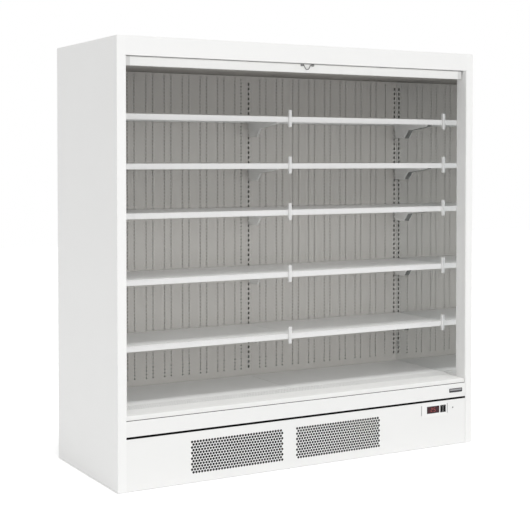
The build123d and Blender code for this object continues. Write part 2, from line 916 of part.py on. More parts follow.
# ---------------------------------------------------------------- controls
display_left = bezel_left + display_offset
display_bottom = bezel_bottom + display_rise
rocker_lefts = [bezel_left + offset_x for offset_x in rocker_offsets]
rocker_bottom = bezel_bottom + rocker_rise
rocker_z = rocker_bottom + rocker_height / 2
rocker_pivot = skirt_setback + rocker_pivot_depth
with BuildPart() as controller:
    with BuildSketch(front_plane(skirt_setback)):
        with Locations((bezel_left + bezel_width / 2, bezel_bottom + bezel_height / 2)):
            RectangleRounded(bezel_width, bezel_height, bezel_corner)
    extrude(amount=bezel_plate)
    with BuildSketch(front_plane(skirt_setback)):
        area(box_left, box_right, box_low, box_high)
    extrude(amount=-(tub_front_setback - cover_gap - skirt_setback))
    # behind the tub's front wall the box is lower
    with BuildSketch(front_plane(skirt_setback)):
        area(box_left, box_right, box_low, tub_underside - cover_gap)
    extrude(amount=-box_depth)
    with BuildSketch(front_plane(bezel_front)):
        area(
            display_left,
            display_left + display_width,
            display_bottom,
            display_bottom + display_height,
        )
    extrude(amount=-display_depth, mode=Mode.SUBTRACT)
    for rocker_left in rocker_lefts:
        with BuildSketch(front_plane(bezel_front)):
            area(
                rocker_left,
                rocker_left + rocker_width,
                rocker_bottom,
                rocker_bottom + rocker_height,
            )
        extrude(amount=-rocker_well, mode=Mode.SUBTRACT)
        with BuildSketch(side_plane(rocker_left - rocker_pivot_reach)):
            with Locations((rocker_pivot, rocker_z)):
                Circle(rocker_pivot_radius + pin_clearance)
        extrude(amount=rocker_width + 2 * rocker_pivot_reach, mode=Mode.SUBTRACT)
write(controller, "controller_housing")

with BuildPart() as display:
    with BuildSketch(front_plane(bezel_front + display_depth)):
        area(
            display_left + seat_gap,
            display_left + display_width - seat_gap,
            display_bottom + seat_gap,
            display_bottom + display_height - seat_gap,
        )
    extrude(amount=display_depth - seat_gap)
write(display, "controller_display")

# each rocker is drawn in its off position, with its lower end pressed in
rocker_half = rocker_height / 2 - rocker_end_gap
rocker_end = rocker_face + rocker_half * sin(radians(rocker_tilt))
for name, rocker_left in zip(("left", "right"), rocker_lefts):
    with BuildPart() as rocker:
        tilted = Plane(
            origin=(rocker_left + seat_gap, front + rocker_pivot, rocker_z),
            x_dir=(0, cos(radians(rocker_tilt)), sin(radians(rocker_tilt))),
            z_dir=(1, 0, 0),
        )
        with BuildSketch(tilted):
            Polygon(
                (-rocker_face, 0),
                (-rocker_end, -rocker_half),
                (rocker_back, -rocker_back_half),
                (rocker_back, rocker_back_half),
                (-rocker_end, rocker_half),
                align=None,
            )
        extrude(amount=rocker_width - 2 * seat_gap)
        with BuildSketch(side_plane(rocker_left - rocker_pivot_reach + pin_clearance)):
            with Locations((rocker_pivot, rocker_z)):
                Circle(rocker_pivot_radius)
        extrude(amount=rocker_width + 2 * (rocker_pivot_reach - pin_clearance))
    write(rocker, f"rocker_switch_{name}")

# ---------------------------------------------------------------- base decks
deck_front = grille_back + cover_gap
for name, side in SIDES:
    low_x, high_x = from_centre(side, shelf_end_gap, shelf_outer)
    with BuildPart() as deck:
        with BuildSketch(side_plane(low_x)):
            folded_sheet(
                [(tray_back, deck_top), (deck_front, deck_top), (deck_front, deck_top - deck_lip)]
            )
        extrude(amount=high_x - low_x)
    write(deck, f"base_deck_{name}")


# ---------------------------------------------------------------- fans
def fan_rotor(centre_x, hub_front, centre_z, hub_radius, tip_radius, chord):
    """Hub, pitched blades and shaft of an axial fan that blows towards the back."""
    with BuildPart() as made:
        with BuildSketch(front_plane(hub_front)):
            with Locations((centre_x, centre_z)):
                Circle(hub_radius)
        extrude(amount=-hub_length)
        for blade in range(blade_count):
            turn = radians(360 / blade_count * blade)
            lean = radians(blade_pitch)
            outward = Vector(cos(turn), 0, sin(turn))
            along = Vector(-sin(turn), 0, cos(turn)) * cos(lean) + Vector(0, 1, 0) * sin(lean)
            root = Vector(centre_x, front + hub_front + hub_length / 2, centre_z)
            root += outward * (hub_radius - blade_thickness)
            with BuildSketch(Plane(origin=root, x_dir=along, z_dir=outward)):
                Rectangle(chord, blade_thickness)
            extrude(amount=tip_radius - hub_radius + blade_thickness)
        with BuildSketch(front_plane(hub_front - hub_length)):
            with Locations((centre_x, centre_z)):
                Circle(tip_radius)
        extrude(amount=-3 * hub_length, mode=Mode.INTERSECT)
        with BuildSketch(front_plane(hub_front + hub_length)):
            with Locations((centre_x, centre_z)):
                Circle(shaft_radius)
        extrude(amount=-shaft_length)
    return made


def motor_on_struts(centre_x, hub_front, centre_z, plate_back, strut_radius):
    """Adds a fan motor with its bore, held behind a plate by struts and posts."""
    motor_front = hub_front + hub_length + motor_stand_off
    with BuildSketch(front_plane(motor_front)) as can:
        with Locations((centre_x, centre_z)):
            Circle(motor_radius)
    extrude(can.sketch, amount=-motor_length)
    with BuildSketch(front_plane(motor_front)) as arms:
        with Locations((centre_x, centre_z)):
            with PolarLocations((motor_radius + strut_radius) / 2, strut_count):
                Rectangle(strut_radius - motor_radius + strut, strut)
    extrude(arms.sketch, amount=-strut)
    with BuildSketch(front_plane(plate_back)) as posts:
        with Locations((centre_x, centre_z)):
            with PolarLocations(strut_radius, strut_count):
                Rectangle(strut, strut)
    extrude(posts.sketch, amount=-(motor_front - plate_back + strut))
    with BuildSketch(front_plane(motor_front)) as bore:
        with Locations((centre_x, centre_z)):
            Circle(shaft_radius + pin_clearance)
    extrude(bore.sketch, amount=-(shaft_length - motor_stand_off + side_clearance), mode=Mode.SUBTRACT)


fan_plate_top = deck_top - sheet - cover_gap
evaporator_fan_z = (tub_floor + fan_plate_top) / 2
evaporator_ring = (fan_plate_top - tub_floor) / 2 - fan_rim
evaporator_tip = evaporator_ring - tip_gap
with BuildPart() as fan_plate:
    with BuildSketch(side_plane(-bay_width + cover_gap)):
        folded_sheet(
            [
                (fan_plate_setback + fan_plate_flange, fan_plate_top),
                (fan_plate_setback, fan_plate_top),
                (fan_plate_setback, tub_floor),
            ]
        )
    extrude(amount=2 * (bay_width - cover_gap))
    with BuildSketch(front_plane(fan_plate_setback)):
        with Locations((-evaporator_fan_x, evaporator_fan_z), (evaporator_fan_x, evaporator_fan_z)):
            Circle(evaporator_ring)
    extrude(amount=-sheet, mode=Mode.SUBTRACT)
    for name, side in SIDES:
        motor_on_struts(
            side * evaporator_fan_x,
            fan_plate_setback - hub_lead,
            evaporator_fan_z,
            fan_plate_setback + sheet,
            evaporator_ring + strut,
        )
write(fan_plate, "evaporator_fan_plate")

for name, side in SIDES:
    rotor = fan_rotor(
        side * evaporator_fan_x,
        fan_plate_setback - hub_lead,
        evaporator_fan_z,
        evaporator_hub_radius,
        evaporator_tip,
        evaporator_chord,
    )
    write(rotor, f"evaporator_fan_{name}")

condenser_left = left_field_start
condenser_right = left_field_start + field_width
condenser_height = machine_bay_height - condenser_headroom
condenser_back = condenser_setback + condenser_depth
shroud_setback = condenser_back + seat_gap
condenser_fan_x = (condenser_left + condenser_right) / 2
condenser_fan_z = machine_floor + condenser_height / 2
condenser_ring = condenser_height / 2 - sheet - seat_gap
condenser_tip = condenser_ring - tip_gap
condenser_hub_front = shroud_setback + hub_lead
with BuildPart() as shroud:
    with BuildSketch(front_plane(shroud_setback)):
        area(condenser_left, condenser_right, machine_floor, machine_floor + condenser_height)
    extrude(amount=-sheet)
    with BuildSketch(front_plane(shroud_setback)):
        with Locations((condenser_fan_x, condenser_fan_z)):
            Circle(condenser_ring + sheet)
    extrude(amount=-shroud_collar)
    with BuildSketch(front_plane(shroud_setback)):
        with Locations((condenser_fan_x, condenser_fan_z)):
            Circle(condenser_ring)
    extrude(amount=-shroud_collar, mode=Mode.SUBTRACT)
    motor_on_struts(
        condenser_fan_x,
        condenser_hub_front,
        condenser_fan_z,
        shroud_setback,
        condenser_ring + sheet,
    )
write(shroud, "condenser_fan_shroud")

rotor = fan_rotor(
    condenser_fan_x,
    condenser_hub_front,
    condenser_fan_z,
    condenser_hub_radius,
    condenser_tip,
    condenser_chord,
)
write(rotor, "condenser_fan")


# ---------------------------------------------------------------- coils
def coil(low_x, high_x, setback, coil_depth, low_z, coil_height):
    """Fin pack between two end plates, with the tubes' return bends outside the plates."""
    middle_x, middle_y = (low_x + high_x) / 2, setback + coil_depth / 2
    fin_count = int((high_x - low_x) / fin_pitch)
    row_count = 2 * int(coil_height / coil_row_pitch / 2)
    first_row = low_z + (coil_height - (row_count - 1) * coil_row_pitch) / 2
    with BuildPart() as made:
        with BuildSketch(level_plane(low_z)):
            area(low_x, high_x, middle_y - fin_spine / 2, middle_y + fin_spine / 2)
            with Locations((middle_x, middle_y)):
                with GridLocations(fin_pitch, coil_depth, fin_count, 1):
                    Rectangle(fin_thickness, coil_depth)
            area(low_x, low_x + end_plate, setback, setback + coil_depth)
            area(high_x - end_plate, high_x, setback, setback + coil_depth)
        extrude(amount=coil_height)
        for end_x, arc in ((low_x, -180), (high_x, 180)):
            for pair in range(row_count // 2):
                row_z = first_row + 2 * pair * coil_row_pitch
                for column_y in (middle_y - coil_depth / 4, middle_y + coil_depth / 4):
                    bend_axis = Axis((end_x, front, row_z + coil_row_pitch / 2), (0, 1, 0))
                    with BuildSketch(side_plane(end_x)):
                        with Locations((column_y, row_z)):
                            Circle(coil_tube_radius)
                    revolve(axis=bend_axis, revolution_arc=arc)
    return made


evaporator_half = bay_width - evaporator_end_gap
evaporator_setback = back_panel + (duct_depth - evaporator_depth) / 2 + sheet
write(
    coil(
        -evaporator_half,
        evaporator_half,
        evaporator_setback,
        evaporator_depth,
        tub_floor,
        evaporator_height,
    ),
    "evaporator_coil",
)
write(
    coil(
        condenser_left,
        condenser_right,
        condenser_setback,
        condenser_depth,
        machine_floor,
        condenser_height,
    ),
    "condenser_coil",
)

# ---------------------------------------------------------------- compressor, tray and pipes
compressor_base = machine_floor + grommet_height + foot_plate
compressor_height = tub_underside - compressor_headroom - compressor_base
discharge_z = machine_floor + discharge_rise
suction_z = machine_floor + suction_rise
with BuildPart() as compressor:
    with BuildSketch(level_plane(compressor_base)):
        with Locations((compressor_x, compressor_setback)):
            Circle(compressor_radius)
    extrude(amount=compressor_height)
    fillet(compressor.edges().filter_by(GeomType.CIRCLE), radius=compressor_round)
    with BuildSketch(level_plane(compressor_base + (compressor_height - weld_band) / 2)):
        with Locations((compressor_x, compressor_setback)):
            Circle(compressor_radius + weld_proud)
    extrude(amount=weld_band)
    with BuildSketch(level_plane(compressor_base - foot_plate)):
        with Locations((compressor_x, compressor_setback)):
            RectangleRounded(foot_plate_size, foot_plate_size, grommet_radius)
    extrude(amount=foot_plate + weld_proud)
    with BuildSketch(level_plane(machine_floor)):
        with Locations((compressor_x, compressor_setback)):
            with GridLocations(grommet_spacing, grommet_spacing, 2, 2):
                Circle(grommet_radius)
    extrude(amount=grommet_height)
    with BuildSketch(side_plane(compressor_x - compressor_radius - stub_length)):
        with Locations((compressor_setback, discharge_z)):
            Circle(discharge_radius + stub_wall)
    extrude(amount=compressor_radius)
    with BuildSketch(side_plane(compressor_x + stub_length)):
        with Locations((compressor_setback, suction_z)):
            Circle(suction_radius + stub_wall)
    extrude(amount=compressor_radius)
write(compressor, "compressor")

with BuildPart() as tray:
    with BuildSketch(level_plane(machine_floor)):
        with Locations((tray_x, tray_setback)):
            RectangleRounded(tray_length, tray_depth, 4 * tray_wall)
    extrude(amount=tray_height)
    with BuildSketch(level_plane(machine_floor + tray_wall)):
        with Locations((tray_x, tray_setback)):
            RectangleRounded(tray_length - 2 * tray_wall, tray_depth - 2 * tray_wall, 3 * tray_wall)
    extrude(amount=tray_height, mode=Mode.SUBTRACT)
write(tray, "evaporation_tray")

condenser_top_z = machine_floor + condenser_height - coil_row_pitch
condenser_low_z = machine_floor + pipe_floor_gap
inlet_setback = condenser_setback + condenser_depth / 4
outlet_pipe_setback = condenser_setback + condenser_depth * 3 / 4
pipe_turn_x = mid_post_x + 2 * rail_size
liquid_z = machine_floor + pipe_floor_gap
suction_run_z = liquid_z + 2 * pipe_floor_gap
suction_turn_x = compressor_x + compressor_radius + 5 * stub_length
pipe_runs = [
    (
        discharge_radius,
        [
            (compressor_x - compressor_radius - stub_length, compressor_setback, discharge_z),
            (pipe_turn_x, compressor_setback, discharge_z),
            (pipe_turn_x, inlet_setback, condenser_top_z),
            (condenser_right, inlet_setback, condenser_top_z),
        ],
    ),
    (
        liquid_radius,
        [
            (condenser_right, outlet_pipe_setback, condenser_low_z),
            (pipe_turn_x, outlet_pipe_setback, condenser_low_z),
            (pipe_turn_x, liquid_setback, liquid_z),
            (pipe_x, liquid_setback, liquid_z),
            (pipe_x, liquid_setback, tub_floor + liquid_joint_rise),
            (evaporator_half, liquid_setback, tub_floor + liquid_joint_rise),
        ],
    ),
    (
        suction_radius,
        [
            (evaporator_half, suction_setback, tub_floor + suction_joint_rise),
            (pipe_x, suction_setback, tub_floor + suction_joint_rise),
            (pipe_x, suction_setback, suction_run_z),
            (suction_turn_x, suction_setback, suction_run_z),
            (suction_turn_x, compressor_setback, suction_z),
            (compressor_x + compressor_radius + stub_length, compressor_setback, suction_z),
        ],
    ),
]
with BuildPart() as pipes:
    for pipe_radius, stops in pipe_runs:
        with BuildLine() as route:
            FilletPolyline(*[(x, front + y, z) for x, y, z in stops], radius=pipe_bend)
        with BuildSketch(Plane(origin=route.line @ 0, z_dir=route.line % 0)):
            Circle(pipe_radius)
        sweep(path=route.line)
write(pipes, "refrigerant_pipes")

with BuildPart() as mains_inlet:
    with BuildSketch(front_plane(depth)):
        with Locations((inlet_x, inlet_z)):
            RectangleRounded(inlet_width, inlet_height, bezel_corner)
    extrude(amount=inlet_depth)
    with BuildSketch(front_plane(depth)):
        with Locations((inlet_x, inlet_z)):
            Rectangle(socket_width, socket_height)
    extrude(amount=socket_depth, mode=Mode.SUBTRACT)
    with BuildSketch(front_plane(depth - socket_depth)):
        with Locations((inlet_x, inlet_z)):
            with GridLocations(inlet_pin_pitch, inlet_height, 3, 1):
                Rectangle(inlet_pin_size / 2, inlet_pin_size)
    extrude(amount=-(socket_depth - inlet_pin_size))
write(mains_inlet, "mains_inlet")

print(f"overall {2 * half_width:.1f} x {depth:.1f} x {height:.1f} mm")
print(f"blind travel {blind_travel:.1f} mm, roller turns {blind_travel / wound_radius:.2f} rad")
print(f"blind hinge setback {roller_setback:.1f}, z {roller_z:.1f}; handle z {handle_z:.1f}")
print(f"shelf tops {shelf_tops}, hooks {hook_drop:.1f} below")
print(f"evaporator fans z {evaporator_fan_z:.2f}")
print(f"condenser fan x {condenser_fan_x:.2f}, z {condenser_fan_z:.2f}")
print(f"rocker pivot setback {rocker_pivot:.2f}, z {rocker_z:.2f}")
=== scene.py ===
"""Dresses the open multideck refrigerator: finishes, punched panels, blind cloth and fittings."""

import math

import bmesh
import bpy
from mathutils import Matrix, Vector


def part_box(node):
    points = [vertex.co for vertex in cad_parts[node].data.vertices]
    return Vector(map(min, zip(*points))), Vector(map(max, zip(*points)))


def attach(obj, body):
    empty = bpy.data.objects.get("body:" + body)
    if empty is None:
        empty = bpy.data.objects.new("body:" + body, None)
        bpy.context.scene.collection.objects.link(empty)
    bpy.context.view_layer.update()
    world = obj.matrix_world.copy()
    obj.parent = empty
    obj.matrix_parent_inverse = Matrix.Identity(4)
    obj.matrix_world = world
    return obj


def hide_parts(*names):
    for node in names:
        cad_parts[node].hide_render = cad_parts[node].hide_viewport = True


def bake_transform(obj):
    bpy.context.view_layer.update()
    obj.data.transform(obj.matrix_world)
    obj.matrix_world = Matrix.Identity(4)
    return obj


bl_info = {
    "name": "Open multideck refrigerator",
    "version": (1, 0, 0),
    "blender": (4, 5, 0),
    "location": "3D View > Sidebar > Multideck",
    "description": "Finishes and fittings of a two-bay open display refrigerator",
    "category": "Object",
}

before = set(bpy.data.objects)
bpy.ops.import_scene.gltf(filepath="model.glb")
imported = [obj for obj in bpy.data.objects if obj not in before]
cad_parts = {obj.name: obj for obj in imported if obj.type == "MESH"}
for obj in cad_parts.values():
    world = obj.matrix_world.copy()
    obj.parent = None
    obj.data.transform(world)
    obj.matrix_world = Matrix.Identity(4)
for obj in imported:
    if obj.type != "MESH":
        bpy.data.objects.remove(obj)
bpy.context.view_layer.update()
CABINET = "cabinet"
SIDES = (("left", -1), ("right", 1))
LEVELS = range(1, 6)
BAY_WIDTH = 0.9375
SHEET_GAUGE = 0.0015
ROCKER_RISE = 0.037  # from the foot of the control panel to the middle of the switches
# the two fields of holes in the lower front panel
FIELD_STARTS = (-0.619, -0.069)
FIELD_DROP = 0.045
FIELD_COLUMNS, FIELD_ROWS = 33, 12
FIELD_PITCH, FIELD_HOLE_RADIUS = 0.01443, 0.0052


# ---------------------------------------------------------------- settings
def length(label, text, value):
    """A length that the user can change."""
    return bpy.props.FloatProperty(
        name=label, description=text, default=value, min=0, unit="LENGTH", precision=4
    )


def colour(label, text, value):
    """A colour that the user can change, given as grey or as red, green and blue."""
    rgb = (value,) * 3 if isinstance(value, float) else value
    return bpy.props.FloatVectorProperty(
        name=label, description=text, default=rgb, size=3, min=0, max=1, subtype="COLOR"
    )


def amount(label, text, value, **limits):
    """A number that the user can change."""
    return bpy.props.FloatProperty(name=label, description=text, default=value, **limits)


class CabinetColours(bpy.types.PropertyGroup):
    """Colours and gloss of the cabinet's finishes."""

    shell: colour("Shell", "Enamel of the foamed end walls, back and roof", (0.86, 0.86, 0.85))
    fascia: colour("Fascia", "Enamel of the top fascia", (0.85, 0.85, 0.84))
    front: colour("Front", "Enamel of the bumper and the lower front panel", (0.825, 0.825, 0.815))
    sill: colour("Sill", "Enamel of the ledge under the shelf space", (0.84, 0.84, 0.825))
    trim: colour("Trim", "Plastic trim on the inner front edges", (0.87, 0.87, 0.86))
    canopy: colour("Canopy", "Enamel of the canopy's underside", (0.335, 0.32, 0.30))
    back: colour("Back panels", "Enamel of the perforated back panels", (0.63, 0.615, 0.585))
    shelf: colour("Shelves", "Enamel of shelves, brackets and decks", (0.84, 0.84, 0.83))
    strip: colour("Label strips", "Plastic of the label strips", (0.79, 0.79, 0.785))
    pull_bar: colour("Pull bar", "Enamel of the night blind's pull bar", (0.86, 0.86, 0.845))
    bar_cap: colour("Bar ends", "Plastic end caps of the pull bar", (0.70, 0.70, 0.69))
    cloth: colour("Blind cloth", "Coated cloth of the night blind", (0.66, 0.66, 0.64))
    plate: colour("Name plate", "Anodised plate, left bare", (0.06, 0.06, 0.065))
    window: colour("Display window", "Tinted window of the display", (0.05, 0.014, 0.018))
    digits: colour("Digits", "Lit segments of the display", (0.9, 0.12, 0.1))
    gloss: amount("Enamel roughness", "Roughness of the white enamel", 0.34, min=0, max=1)


class CabinetSizes(bpy.types.PropertyGroup):
    """Sizes of the fittings that are made here."""

    hole_radius: length("Back panel hole", "Radius of the holes in the back panels", 0.0038)
    pair_start: length("First hole", "First hole of a bay, from the bay's left edge", 0.0665)
    pair_gap: length("Hole pair", "Distance between the two holes of a pair", 0.036)
    pair_pitch: length("Pair pitch", "Distance from pair to pair", 0.0989)
    row_pitch: length("Row pitch", "Distance between rows of holes in the back panels", 0.017)
    grille_pitch: length("Grille pitch", "Distance between holes of the return air grille", 0.0085)
    grille_radius: length("Grille hole", "Radius of the holes of the return air grille", 0.0027)
    screw_radius: length("Screw head", "Radius of the pan-headed screws", 0.0042)
    cloth_rows: bpy.props.IntProperty(
        name="Cloth rows", description="Rows of the hanging cloth's mesh", default=24, min=4, max=80
    )


class StudioSettings(bpy.types.PropertyGroup):
    """Light, floor and camera of the stage."""

    floor: colour("Floor", "Colour of the plain floor", (0.93, 0.93, 0.93))
    lift: amount("Floor lift", "The floor's own light where the camera sees it", 0.27, min=0)
    sky: amount("Sky", "Strength of the even light from all sides", 0.57, min=0)
    key: amount("Key light", "Power of the large soft light", 92, min=0, unit="POWER")
    top: amount("Top light", "Strength of the soft light from high above", 1.55, min=0)
    lens: amount("Focal length", "Focal length of the camera", 82.012, min=1, unit="CAMERA")
    shift: amount("Vertical shift", "Rise of the camera's lens", -0.14)


# ---------------------------------------------------------------- shader groups
FINISH = ("Colour", "Roughness", "Height")


def new_group(name, outputs, **inputs):
    """An empty node group, with the sockets of its input and output nodes."""
    tree = bpy.data.node_groups.new(name, "ShaderNodeTree")
    for label, value in inputs.items():
        kind = "NodeSocketColor" if isinstance(value, tuple) else "NodeSocketFloat"
        socket = tree.interface.new_socket(name=label, in_out="INPUT", socket_type=kind)
        socket.default_value = value
    for label in outputs:
        kind = "NodeSocketColor" if label == "Colour" else "NodeSocketFloat"
        tree.interface.new_socket(name=label, in_out="OUTPUT", socket_type=kind)
    given = tree.nodes.new("NodeGroupInput").outputs
    return tree, given, tree.nodes.new("NodeGroupOutput").inputs


def math_node(tree, operation, first, second=0.0, clamp=False):
    """One step of arithmetic on values or sockets."""
    made = tree.nodes.new("ShaderNodeMath")
    made.operation = operation
    made.use_clamp = clamp
    for socket, value in zip(made.inputs, (first, second)):
        if isinstance(value, bpy.types.NodeSocket):
            tree.links.new(value, socket)
        else:
            socket.default_value = value
    return made.outputs[0]


def object_noise(tree, scale, detail, stretch=None):
    """Noise in the object's own coordinates, from 0 to 1. Stretch squeezes it along each axis."""
    place = tree.nodes.new("ShaderNodeTexCoord").outputs["Object"]
    if stretch:
        squeeze = tree.nodes.new("ShaderNodeVectorMath")
        squeeze.operation = "MULTIPLY"
        squeeze.inputs[1].default_value = stretch
        tree.links.new(place, squeeze.inputs[0])
        place = squeeze.outputs[0]
    noise = tree.nodes.new("ShaderNodeTexNoise")
    noise.inputs["Detail"].default_value = detail
    if isinstance(scale, bpy.types.NodeSocket):
        tree.links.new(scale, noise.inputs["Scale"])
    else:
        noise.inputs["Scale"].default_value = scale
    tree.links.new(place, noise.inputs["Vector"])
    return noise.outputs["Fac"]


def tinted(tree, base, factor):
    """The base colour made lighter or darker by a factor around 1."""
    scale = tree.nodes.new("ShaderNodeVectorMath")
    scale.operation = "SCALE"
    tree.links.new(base, scale.inputs[0])
    tree.links.new(factor, scale.inputs["Scale"])
    return scale.outputs[0]


def around_one(tree, value, spread):
    """A factor around 1, from a value between 0 and 1."""
    centred = math_node(tree, "SUBTRACT", value, 0.5)
    return math_node(tree, "ADD", math_node(tree, "MULTIPLY", centred, spread), 1.0)


def varied(tree, base, value, spread):
    """The base made larger or smaller by a value between 0 and 1, and kept in that range."""
    change = math_node(tree, "MULTIPLY", math_node(tree, "SUBTRACT", value, 0.5), spread)
    return math_node(tree, "ADD", base, change, clamp=True)


def put_out(tree, result, **outputs):
    """Links sockets to the outputs of a group."""
    for label, socket in outputs.items():
        tree.links.new(socket, result[label])


def build_enamel_group():
    """Sprayed enamel: faint orange peel, slow shade drift and a little settled dust on ledges."""
    grey = (0.8, 0.8, 0.8, 1)
    tree, given, result = new_group(
        "sprayed_enamel", FINISH, Colour=grey, Drift=0.02, Roughness=0.35, Peel=420.0, Dust=0.05
    )
    factor = around_one(tree, object_noise(tree, 3.1, 3.0), given["Drift"])
    up = tree.nodes.new("ShaderNodeSeparateXYZ")
    tree.links.new(tree.nodes.new("ShaderNodeNewGeometry").outputs["Normal"], up.inputs[0])
    level = math_node(tree, "POWER", math_node(tree, "MAXIMUM", up.outputs["Z"], 0.0), 6.0)
    patchy = math_node(tree, "MULTIPLY", object_noise(tree, 38.0, 5.0), level)
    dust = math_node(tree, "MULTIPLY", patchy, given["Dust"])
    factor = math_node(tree, "SUBTRACT", factor, dust)
    shade = tinted(tree, given["Colour"], factor)
    smudge = math_node(tree, "MULTIPLY", object_noise(tree, 11.0, 4.0), 0.12)
    rough = math_node(tree, "ADD", given["Roughness"], smudge)
    rough = math_node(tree, "ADD", rough, math_node(tree, "MULTIPLY", dust, 2.0), clamp=True)
    peel = object_noise(tree, given["Peel"], 1.0)
    put_out(tree, result, Colour=shade, Roughness=rough, Height=peel)
    return tree


def build_moulding_group():
    """Moulded plastic: spark-eroded grain and slow shade drift."""
    grey = (0.5, 0.5, 0.5, 1)
    tree, given, result = new_group(
        "moulded_grain", FINISH, Colour=grey, Drift=0.04, Roughness=0.4, Grain=900.0
    )
    factor = around_one(tree, object_noise(tree, 9.0, 3.0), given["Drift"])
    shade = tinted(tree, given["Colour"], factor)
    grain = object_noise(tree, given["Grain"], 2.0)
    rough = varied(tree, given["Roughness"], grain, 0.15)
    put_out(tree, result, Colour=shade, Roughness=rough, Height=grain)
    return tree


def build_metal_group():
    """Rolled or drawn metal: fine lines along one axis and cloudy plating."""
    grey = (0.6, 0.6, 0.6, 1)
    tree, given, result = new_group("drawn_metal", FINISH, Colour=grey, Cloud=0.2, Roughness=0.3)
    factor = around_one(tree, object_noise(tree, 46.0, 6.0), given["Cloud"])
    shade = tinted(tree, given["Colour"], factor)
    lines = object_noise(tree, 1.0, 4.0, stretch=(6.0, 900.0, 900.0))
    rough = varied(tree, given["Roughness"], lines, 0.3)
    put_out(tree, result, Colour=shade, Roughness=rough, Height=lines)
    return tree


def build_weave_group():
    """Plain-woven coated cloth: crossing threads and a soft drift of shade."""
    grey = (0.6, 0.6, 0.6, 1)
    outputs = ("Colour", "Height")
    tree, given, result = new_group("woven_cloth", outputs, Colour=grey, Threads=1500.0)
    split = tree.nodes.new("ShaderNodeSeparateXYZ")
    tree.links.new(tree.nodes.new("ShaderNodeTexCoord").outputs["Object"], split.inputs[0])
    waves = []
    for axis in ("X", "Z"):
        turns = math_node(tree, "MULTIPLY", split.outputs[axis], given["Threads"])
        waves.append(math_node(tree, "SINE", turns))
    height = math_node(tree, "MULTIPLY", waves[0], waves[1])
    factor = around_one(tree, object_noise(tree, 14.0, 4.0), 0.1)
    factor = math_node(tree, "ADD", factor, math_node(tree, "MULTIPLY", height, 0.05))
    put_out(tree, result, Colour=tinted(tree, given["Colour"], factor), Height=height)
    return tree


# ---------------------------------------------------------------- materials
FINISHES = {}
GROUPS = {}


def finish(name, group, rgb, bump, bump_distance, values=None, shader=None):
    """A material that feeds one of the shader groups into a Principled BSDF."""
    if name in FINISHES:
        return FINISHES[name]
    made = bpy.data.materials.new(name)
    made.use_nodes = True
    tree = made.node_tree
    principled = tree.nodes["Principled BSDF"]
    for label, value in (shader or {}).items():
        principled.inputs[label].default_value = value
    effect = tree.nodes.new("ShaderNodeGroup")
    effect.node_tree = group
    effect.inputs["Colour"].default_value = (*rgb, 1)
    for label, value in (values or {}).items():
        effect.inputs[label].default_value = value
    tree.links.new(effect.outputs["Colour"], principled.inputs["Base Color"])
    if "Roughness" in effect.outputs:
        tree.links.new(effect.outputs["Roughness"], principled.inputs["Roughness"])
    relief = tree.nodes.new("ShaderNodeBump")
    relief.inputs["Strength"].default_value = bump
    relief.inputs["Distance"].default_value = bump_distance
    tree.links.new(effect.outputs["Height"], relief.inputs["Height"])
    tree.links.new(relief.outputs["Normal"], principled.inputs["Normal"])
    made.diffuse_color = (*rgb, 1)
    FINISHES[name] = made
    return made


def enamel(name, rgb, rough=None, drift=0.02, dust=0.05):
    """White or grey stove enamel on sheet metal."""
    gloss = bpy.context.scene.multideck_colours.gloss if rough is None else rough
    values = {"Roughness": gloss, "Drift": drift, "Dust": dust}
    return finish(name, GROUPS["enamel"], tuple(rgb), 0.035, 0.0002, values)


def plastic(name, rgb, rough=0.4, grain=900.0, bump=0.06, drift=0.04):
    """Moulded or extruded plastic."""
    values = {"Roughness": rough, "Grain": grain, "Drift": drift}
    return finish(name, GROUPS["moulding"], tuple(rgb), bump, 0.0002, values)


def metal(name, rgb, rough=0.3, cloud=0.2, bump=0.05):
    """Bare or plated metal."""
    values = {"Roughness": rough, "Cloud": cloud}
    return finish(name, GROUPS["metal"], tuple(rgb), bump, 0.0001, values, {"Metallic": 1.0})


def cloth(name, rgb):
    """Coated cloth of the night blind."""
    shader = {"Roughness": 0.72, "Sheen Weight": 0.15}
    return finish(name, GROUPS["weave"], tuple(rgb), 0.25, 0.0003, None, shader)


def dulled(material, specular):
    """The material with a weaker reflection at its surface."""
    shader = material.node_tree.nodes["Principled BSDF"]
    shader.inputs["Specular IOR Level"].default_value = specular
    return material


def paint(material, *nodes):
    """Gives CAD nodes their finish."""
    for name in nodes:
        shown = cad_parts[name]
        if not shown.data.materials:
            shown.data.materials.append(material)
        for index in range(len(shown.data.materials)):
            shown.data.materials[index] = material


# ---------------------------------------------------------------- making pieces
def add_piece(name, mesh, material, body, replaced=()):
    """Puts a finished mesh into the scene, riding on its body."""
    piece = bpy.data.objects.new(name, mesh)
    bpy.context.scene.collection.objects.link(piece)
    mesh.materials.append(material)
    if replaced:
        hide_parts(*replaced)
    if body:
        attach(piece, body)
    return piece


def mesh_from(name, points, faces, smooth=False):
    """A clean mesh with its faces turned outwards."""
    mesh = bpy.data.meshes.new(name)
    mesh.from_pydata(points, [], faces)
    work = bmesh.new()
    work.from_mesh(mesh)
    bmesh.ops.remove_doubles(work, verts=work.verts, dist=1e-6)
    bmesh.ops.recalc_face_normals(work, faces=work.faces)
    work.to_mesh(mesh)
    work.free()
    if smooth:
        mesh.shade_smooth()
        mesh.set_sharp_from_angle(angle=math.radians(35))
    return mesh


def add_solid(name, solid, material, body, replaced=(), smooth=False):
    """Puts a piece into the scene, from its points and faces."""
    mesh = mesh_from(name, *solid, smooth=smooth)
    return add_piece(name, mesh, material, body, replaced)


def quads(here, there, count):
    """Faces between two rings of points, given the number of each ring's first point."""
    pairs = [(i, (i + 1) % count) for i in range(count)]
    return [(here + i, here + after, there + after, there + i) for i, after in pairs]


